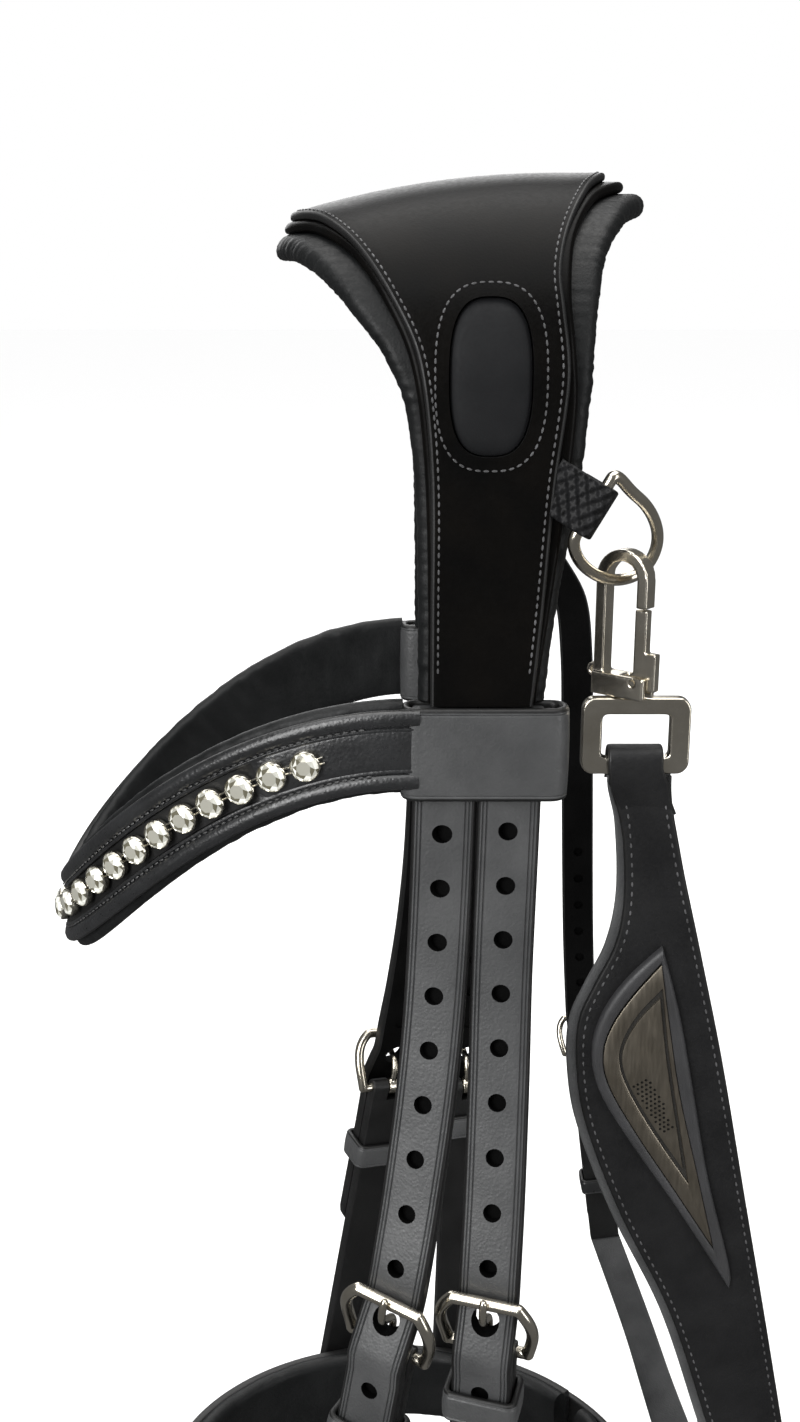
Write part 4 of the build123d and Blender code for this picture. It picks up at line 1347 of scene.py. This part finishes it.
for node, cell, rounds in (("snap_body", 0.3, 9), ("snap_gate", 0.25, 6), ("snap_eye", 0.32, 14)):
    cast = casting(node, cell, rounds)
    print(cast.name, len(cast.data.polygons), "faces")
for side_name in SIDES:
    for part in ("cheek_buckle", "noseband_buckle", "cheek_tongue", "noseband_tongue"):
        casting(f"{side_name}_{part}", 0.26, 3)
casting("throat_buckle", 0.2, 2)
casting("throat_tongue", 0.16, 1)
for node in ("near_ring", "snap_pin", "near_bit_stud", "far_bit_stud"):
    frame["nodes"][node].data.materials.clear()
    frame["nodes"][node].data.materials.append(nickel)

# %% [markdown]
# ## Woven tab
# The ring's bar is held by a folded piece of tape. Its way is drawn from the side: out from under
# the leather, half a turn round the bar, and back. The weave is bump that follows the tape's UVs.

# %% Woven tab
RING_BAR = ((27.6, -77.4), (36.2, -62.6))
RING_BAR_Y = -50.9
TAB_WIDE, TAB_THICK = 13.5, 1.5
TAB_R = 2.7


def tab():
    """Tape that comes from under the leather, round the ring's bar and back."""
    (x0, z0), (x1, z1) = RING_BAR
    middle = Vector(((x0 + x1) / 2, RING_BAR_Y, (z0 + z1) / 2))
    along = Vector((x0 - x1, 0, z0 - z1)).normalized()
    out = Vector((0, -1, 0))
    away = out.cross(along)
    way = [(-12.5, -2.6), (-9.5, -2.3), (-6.5, -0.6), (-3.6, 1.7), (-1.6, 2.5)]
    way += [(TAB_R * math.sin(t), TAB_R * math.cos(t)) for t in
            (math.radians(d) for d in range(0, 181, 15))]
    way += [(-2.0, -TAB_R + 0.2), (-5.5, -1.9)]
    points, kinds = profile(TAB_WIDE / 2, -TAB_THICK / 2, TAB_THICK / 2, corner=0.6, steps=10)
    rings = []
    for i, (a, b) in enumerate(way):
        before, after = way[max(0, i - 1)], way[min(len(way) - 1, i + 1)]
        run = Vector((after[0] - before[0], after[1] - before[1])).normalized()
        centre = middle + away * a + out * b
        normal = out * run.x - away * run.y
        rings.append([centre + along * p + normal * q for p, q in points])
    obj = skin("woven_ring_tab", rings, kinds, [tape] * 3)
    return dress(obj, "headpiece", "near_webbing_tab")


print("tab:", len(tab().data.polygons), "faces")

# %% [markdown]
# ## The throatlash
# A shaped strap hangs from the snap's eye: it narrows, swells round the badge, and tapers
# on its way under the jaw to a small buckle. It is two plies. The top ply stops short of the
# front edge, so a band of the raw grey ply shows beside it.

# %% Throat strap way
THROAT_Y = -41.0
THROAT_PLY = 2.0
RAW_BAND = 2.6
THROAT_FRONT = [(143, 39.6), (155, 42.0), (176, 43.2), (191, 40.8), (203, 35.6), (213, 31.8),
                (226, 31.3), (245, 34.3), (275, 45.4), (309, 61.6), (349, 75.0)]
THROAT_REAR = [(143, 56.6), (163, 59.9), (192, 66.9), (226, 75.0), (271, 84.4), (311, 92.8),
               (349, 100.6)]
THROAT_WAY = [((87.8, -41, -349), 12.8), ((93, -40, -382), 12.2), ((97, -34, -414), 11.2),
              ((99, -20, -438), 10.2), ((98, 0, -450), 9.0), ((94, 20, -445), 8.0),
              ((88, 34, -431), 7.0), ((80, 42, -409), 6.0), ((72, 46, -385), 5.4)]
eye_low, eye_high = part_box("snap_eye")
EYE_X = (eye_low.x + eye_high.x) / 2 / MM
EYE_BAR, EYE_THICK = 4.6, 3.6
BAR_Z = eye_low.z / MM + EYE_BAR / 2


def under_jaw():
    """Stations from below the badge to the far buckle strap."""
    upward = THROAT["frame"][2]
    end = spot(THROAT, 0, -(THROAT["length"] + 0.3) / THROAT["k"], HEEL[1])
    way = [(Vector(p), half) for p, half in THROAT_WAY]
    way.append((Vector((end.x, -end.y, end.z)), 8.2 * THROAT["k"]))
    stations = []
    for i, (here, half) in enumerate(way):
        before, after = way[max(0, i - 1)][0], way[min(len(way) - 1, i + 1)][0]
        along = (after - before).normalized()
        if i == 0:
            along = Vector((0, 0, -1))
        if i == len(way) - 1:
            along = Vector((upward.x, -upward.y, upward.z))
        wide = (Vector((1, 0, 0)) - along * along.x).normalized()
        stations.append((here, wide, along.cross(wide), half))
    return glide(stations, 3.0)


def throat_stations():
    """All the way from the eye's bar to the far side."""
    stations = []
    for z in range(142, 349, 2):
        left, right = smooth(THROAT_FRONT, z), smooth(THROAT_REAR, z)
        stations.append((Vector(((left + right) / 2, THROAT_Y, -z)), Vector((1, 0, 0)),
                         Vector((0, -1, 0)), (right - left) / 2))
    return stations + under_jaw()


def neck_middle(z):
    """The fold hangs from the middle of the eye and runs into the middle of the top ply."""
    share = min(1.0, max(0.0, (BAR_Z - z) / 12))
    middle = (smooth(THROAT_FRONT, -z) + smooth(THROAT_REAR, -z) + RAW_BAND) / 2
    return EYE_X + (middle - EYE_X) * share


def fold_stations():
    """The top ply's neck, from behind the eye's bar, over it and down the front."""
    reach = EYE_THICK / 2 + 0.25 + THROAT_PLY / 2
    way = [(reach - 0.2, -143.5, 8.4), (reach, BAR_Z - 2.5, 7.6), (reach, BAR_Z, 7.3)]
    way += [(reach * math.cos(t), BAR_Z + 1.6 + reach * math.sin(t), 7.3)
            for t in (math.radians(d) for d in range(0, 181, 20))]
    way += [(-reach, BAR_Z, 7.3), (-reach, BAR_Z - 2.5, 7.5), (-reach + 0.5, -143.5, 8.0),
            (-reach + 1.4, -148.0, 7.4), (-reach + 2.3, -152.5, 7.4)]
    stations = []
    for i, (y, z, half) in enumerate(way):
        before, after = way[max(0, i - 1)], way[min(len(way) - 1, i + 1)]
        run = Vector((0, after[0] - before[0], after[1] - before[1])).normalized()
        wide = Vector((1, 0, 0))
        stations.append((Vector((neck_middle(z), THROAT_Y + y, z)), wide, wide.cross(run), half))
    return stations


print("rows in the throat strap's fold:", len(fold_stations()))

# %% Throat strap plies
throat_way = throat_stations()
throat_finishes = [throat_hide, edge_paint, throat_hide]
top_rings, raw_rings, fold_rings = [], [], []
for i, (centre, wide, out, half) in enumerate(throat_way):
    inset = RAW_BAND * min(1.0, 0.25 + i / 12) * min(1.0, half / 12)
    points, top_kinds = profile(half - inset / 2, 0.05, THROAT_PLY, corner=0.75, dome=0.25, steps=8)
    top_rings.append(carry(points, (centre + wide * inset / 2, wide, out)))
    points, raw_kinds = profile(half, -THROAT_PLY, 0.0, corner=0.8, steps=8)
    raw_rings.append([centre + wide * a + out * (b + 0.9 * max(0.0, -a / half) ** 6) for a, b in points])
for station in fold_stations():
    points, fold_kinds = profile(station[3], -THROAT_PLY / 2, THROAT_PLY / 2, corner=0.75, steps=8)
    fold_rings.append(carry(points, station))
strap = skin("throat_strap_top_ply", top_rings, top_kinds, throat_finishes)
lining = skin("throat_strap_raw_ply", raw_rings, raw_kinds, [raw_edge] * 3)
neck = skin("throat_strap_fold", fold_rings, fold_kinds, throat_finishes)
dress(strap, "throatlash", "throat_strap")
dress(lining, "throatlash", "throat_lining")
dress(neck, "throatlash", None)


def throat_seams(inset):
    left, right = [], []
    for centre, wide, out, half in throat_way[::2]:
        raw = RAW_BAND * min(1.0, half / 12)
        if half < 6:
            break
        left.append((centre - wide * (half - raw - inset) + out * (THROAT_PLY + 0.12), out))
        right.append((centre + wide * (half - inset) + out * (THROAT_PLY + 0.12), out))
    return [left, right]


sew("throat_strap_stitches", throat_seams(2.0), "throatlash", thread, pitch=2.8)
print("throat strap:", len(throat_way), "stations")

# %% [markdown]
# ## The badge
# A rubber rim holds a satin plate. The plate carries one engraved line that follows its
# own outline, and a small panel of punched dots. It has no lettering and no mark.

# %% Badge outlines
BEZEL = [(56.2, -190.5), (47.1, -200.0), (40.6, -210.5), (38.0, -222.0), (40.5, -234.5),
         (50.0, -251.0), (64.0, -272.0), (81.0, -299.5), (80.6, -292.0), (72.6, -262.0),
         (66.4, -231.7), (61.6, -209.4)]
PLATE = [(56.0, -195.0), (48.6, -204.5), (43.2, -213.6), (41.0, -222.5), (43.0, -232.6),
         (51.6, -248.2), (63.0, -266.0), (75.4, -285.6), (69.4, -261.0), (63.2, -236.0),
         (59.4, -215.5)]
GROOVE = [(56.6, -202.5), (50.4, -210.0), (46.4, -218.0), (45.6, -225.0), (48.6, -234.0),
          (56.5, -248.0), (67.0, -264.0), (64.0, -248.0), (59.6, -224.0)]
BADGE_FRONT = THROAT_Y - THROAT_PLY


def rounded_outline(points, tips, steps=7):
    """A closed smooth outline in X and Z, sharp at the corners numbered in tips."""
    count = len(points)
    found = []
    for i in range(count):
        a, b = Vector(points[i]), Vector(points[(i + 1) % count])
        before = a if i in tips else Vector(points[i - 1])
        after = b if (i + 1) % count in tips else Vector(points[(i + 2) % count])
        m0, m1 = (b - before) * 0.5, (after - a) * 0.5
        for k in range(steps):
            t = k / steps
            found.append(a * (1 + 2 * t) * (1 - t) ** 2 + m0 * t * (1 - t) ** 2
                         + b * t * t * (3 - 2 * t) + m1 * t * t * (t - 1))
    return found


def matched(points, tip, steps=36):
    """The same number of points down one side to the tip and up the other, evenly spaced."""
    line = rounded_outline(points, {0, tip})
    low = tip * (len(line) // len(points))
    found = []
    for part in (line[:low + 1], line[low:] + line[:1]):
        lengths = [0.0]
        for a, b in zip(part, part[1:]):
            lengths.append(lengths[-1] + (b - a).length)
        for k in range(steps):
            wanted = lengths[-1] * k / steps
            i = max(n for n in range(len(part) - 1) if lengths[n] <= wanted)
            share = (wanted - lengths[i]) / (lengths[i + 1] - lengths[i])
            found.append(part[i].lerp(part[i + 1], share))
    return found


def shrunk(points, share, about):
    return [Vector(about).lerp(p, share) for p in points]


def at_height(points, height):
    return [Vector((p.x, BADGE_FRONT - height, p.y)) for p in points]


def plaque(name, levels, materials, closed=False):
    """A raised form through (outline, height) levels: closed by faces, or a ring back to its start."""
    rings = [at_height(points, height) for points, height in levels]
    return skin(name, rings, [0] * len(rings[0]), materials, closed=closed, sharp=45)


print("points round the badge:", len(BEZEL))

# %% Badge pieces
BADGE_MIDDLE = (57.0, -234.0)
PANEL_CORNER = (52.5, -226.0)
rim, edge = matched(BEZEL, 7), matched(PLATE, 7)
groove = matched(GROOVE, 6)
panel = shrunk(groove, 0.87, PANEL_CORNER)


def mixed(first, second, share):
    return [a.lerp(b, share) for a, b in zip(first, second)]


bezel = plaque("badge_rubber_rim", [(rim, 0.0), (rim, 1.4), (mixed(rim, edge, 0.12), 2.1),
                                    (mixed(rim, edge, 0.4), 2.5), (mixed(rim, edge, 0.75), 2.4),
                                    (mixed(rim, edge, 0.97), 2.0), (edge, 1.0)], [bezel_finish])
inner = shrunk(edge, 0.985, BADGE_MIDDLE)
plate = plaque("badge_satin_frame", [(inner, 1.5), (inner, 2.25), (shrunk(inner, 0.985, BADGE_MIDDLE), 2.4),
                                     (shrunk(groove, 1.03, BADGE_MIDDLE), 2.4), (groove, 2.25),
                                     (groove, 1.5)], [satin], closed=True)
# A dark sheet under the engraved line: painted shadow in the groove.
ground = plaque("badge_groove_ground", [(inner, 1.1), (inner, 1.75)], [groove_painted_shade])
centre = plaque("badge_satin_centre", [(panel, 1.5), (panel, 2.3),
                                       (shrunk(panel, 0.97, BADGE_MIDDLE), 2.4)], [satin])
print("badge:", plate.name, ground.name, centre.name)

# %% Punched panel
DOT_R, DOT_PITCH = 0.42, 1.3
PANEL_START, PANEL_END = Vector((50.0, -232.6)), Vector((59.6, -248.6))
dots = bmesh.new()
panel_way = (PANEL_END - PANEL_START).normalized()
panel_side = Vector((-panel_way.y, panel_way.x))
rows_of_dots = round((PANEL_END - PANEL_START).length / DOT_PITCH)
for r in range(rows_of_dots):
    for c in range(4 if r < rows_of_dots * 0.6 else 3):
        p = PANEL_START + panel_way * r * DOT_PITCH
        p += panel_side * (c * DOT_PITCH + (r % 2) * DOT_PITCH / 2)
        rod_into(dots, Vector((p.x, BADGE_FRONT - 2.5, p.y)), Vector((0, 1, 0)), DOT_R, 1.2, NEAR, 8)
# The dots' walls take the painted shadow.
cut(centre, from_bmesh("dot_cutter", dots, [groove_painted_shade]))
dress(bezel, "throatlash", "badge_bezel")
dress(plate, "throatlash", "badge_plate")
dress(ground, "throatlash", None)
dress(centre, "throatlash", None)
print("badge:", len(centre.data.polygons), "faces on the centre")

# %% [markdown]
# ## The noseband
# The noseband goes round the nose below the straps' buckles. Only its upper edge is often
# seen, but it is as complete as the rest: leather, a soft lining, a jaw pad and a jaw strap.

# %% Noseband
NOSE_X, NOSE_Z = -16.0, -419.0
NOSE_HALF = (76.0, 60.0)


def nose_band(name, shape_at, start, end, materials, step=1.5):
    rings, kinds = [], None
    count = round((end - start) / step)
    for i in range(count + 1):
        degrees = start + (end - start) * i / count
        a = math.radians(degrees)
        place = Vector((NOSE_X + NOSE_HALF[0] * math.cos(a), NOSE_HALF[1] * math.sin(a), NOSE_Z))
        out = Vector((math.cos(a) / NOSE_HALF[0], math.sin(a) / NOSE_HALF[1], 0)).normalized()
        points, kinds = shape_at(degrees)
        rings.append(carry(points, (place, Vector((0, 0, 1)), out)))
    return skin(name, rings, kinds, materials)


def nose_padding(half, inner, outer):
    def shape_at(degrees):
        points, kinds = pillow(half, inner, outer, 0.0)
        soft = []
        for a, b in points:
            fold = noise.noise(Vector((degrees * 0.5, a * 0.1, 9.0)))
            amount = 0.4 if b < inner + 2 or abs(a) > half - 2 else 0.0
            soft.append((a, b + amount * fold))
        return soft, kinds
    return shape_at


def nose_seam(height, out_by, start, end):
    row = []
    for i in range(121):
        a = math.radians(start + (end - start) * i / 120)
        out = Vector((math.cos(a) / NOSE_HALF[0], math.sin(a) / NOSE_HALF[1], 0)).normalized()
        place = Vector((NOSE_X + NOSE_HALF[0] * math.cos(a), NOSE_HALF[1] * math.sin(a), NOSE_Z + height))
        row.append((place + out * out_by, out))
    return row


print("noseband:", round(2 * NOSE_HALF[0]), "by", round(2 * NOSE_HALF[1]), "mm")

# %% Noseband pieces
band_finishes = [band_hide, edge_paint, edge_paint]
nose_leather = nose_band("noseband_creased_leather", lambda d: profile(
    11.5, 0.5, 4.0, corner=1.1, lines=(3.0,), depth=0.3, dome=0.7, steps=8), 38, 322, band_finishes)
nose_lining = nose_band("noseband_soft_lining", nose_padding(14.0, -5.6, 0.2), 37, 323, [soft_hide])
jaw_pad = nose_band("jaw_soft_pad", nose_padding(15.0, -5.6, 0.0), -27, 27, [soft_hide])
jaw_strap = nose_band("jaw_creased_strap", lambda d: profile(
    7.5, 4.5, 7.3, corner=0.9, lines=(1.5,), depth=0.3, dome=0.3), -66, 66, band_finishes)
dress(nose_leather, "headpiece", "noseband_leather")
dress(nose_lining, "headpiece", "noseband_lining")
dress(jaw_pad, "headpiece", "jaw_pad")
dress(jaw_strap, "headpiece", "jaw_strap")
sew("noseband_stitches", [nose_seam(8.5, 4.35, 40, 320), nose_seam(-8.5, 4.35, 40, 320)],
    "headpiece", dark_thread)
bpy.data.objects.remove(STITCH)
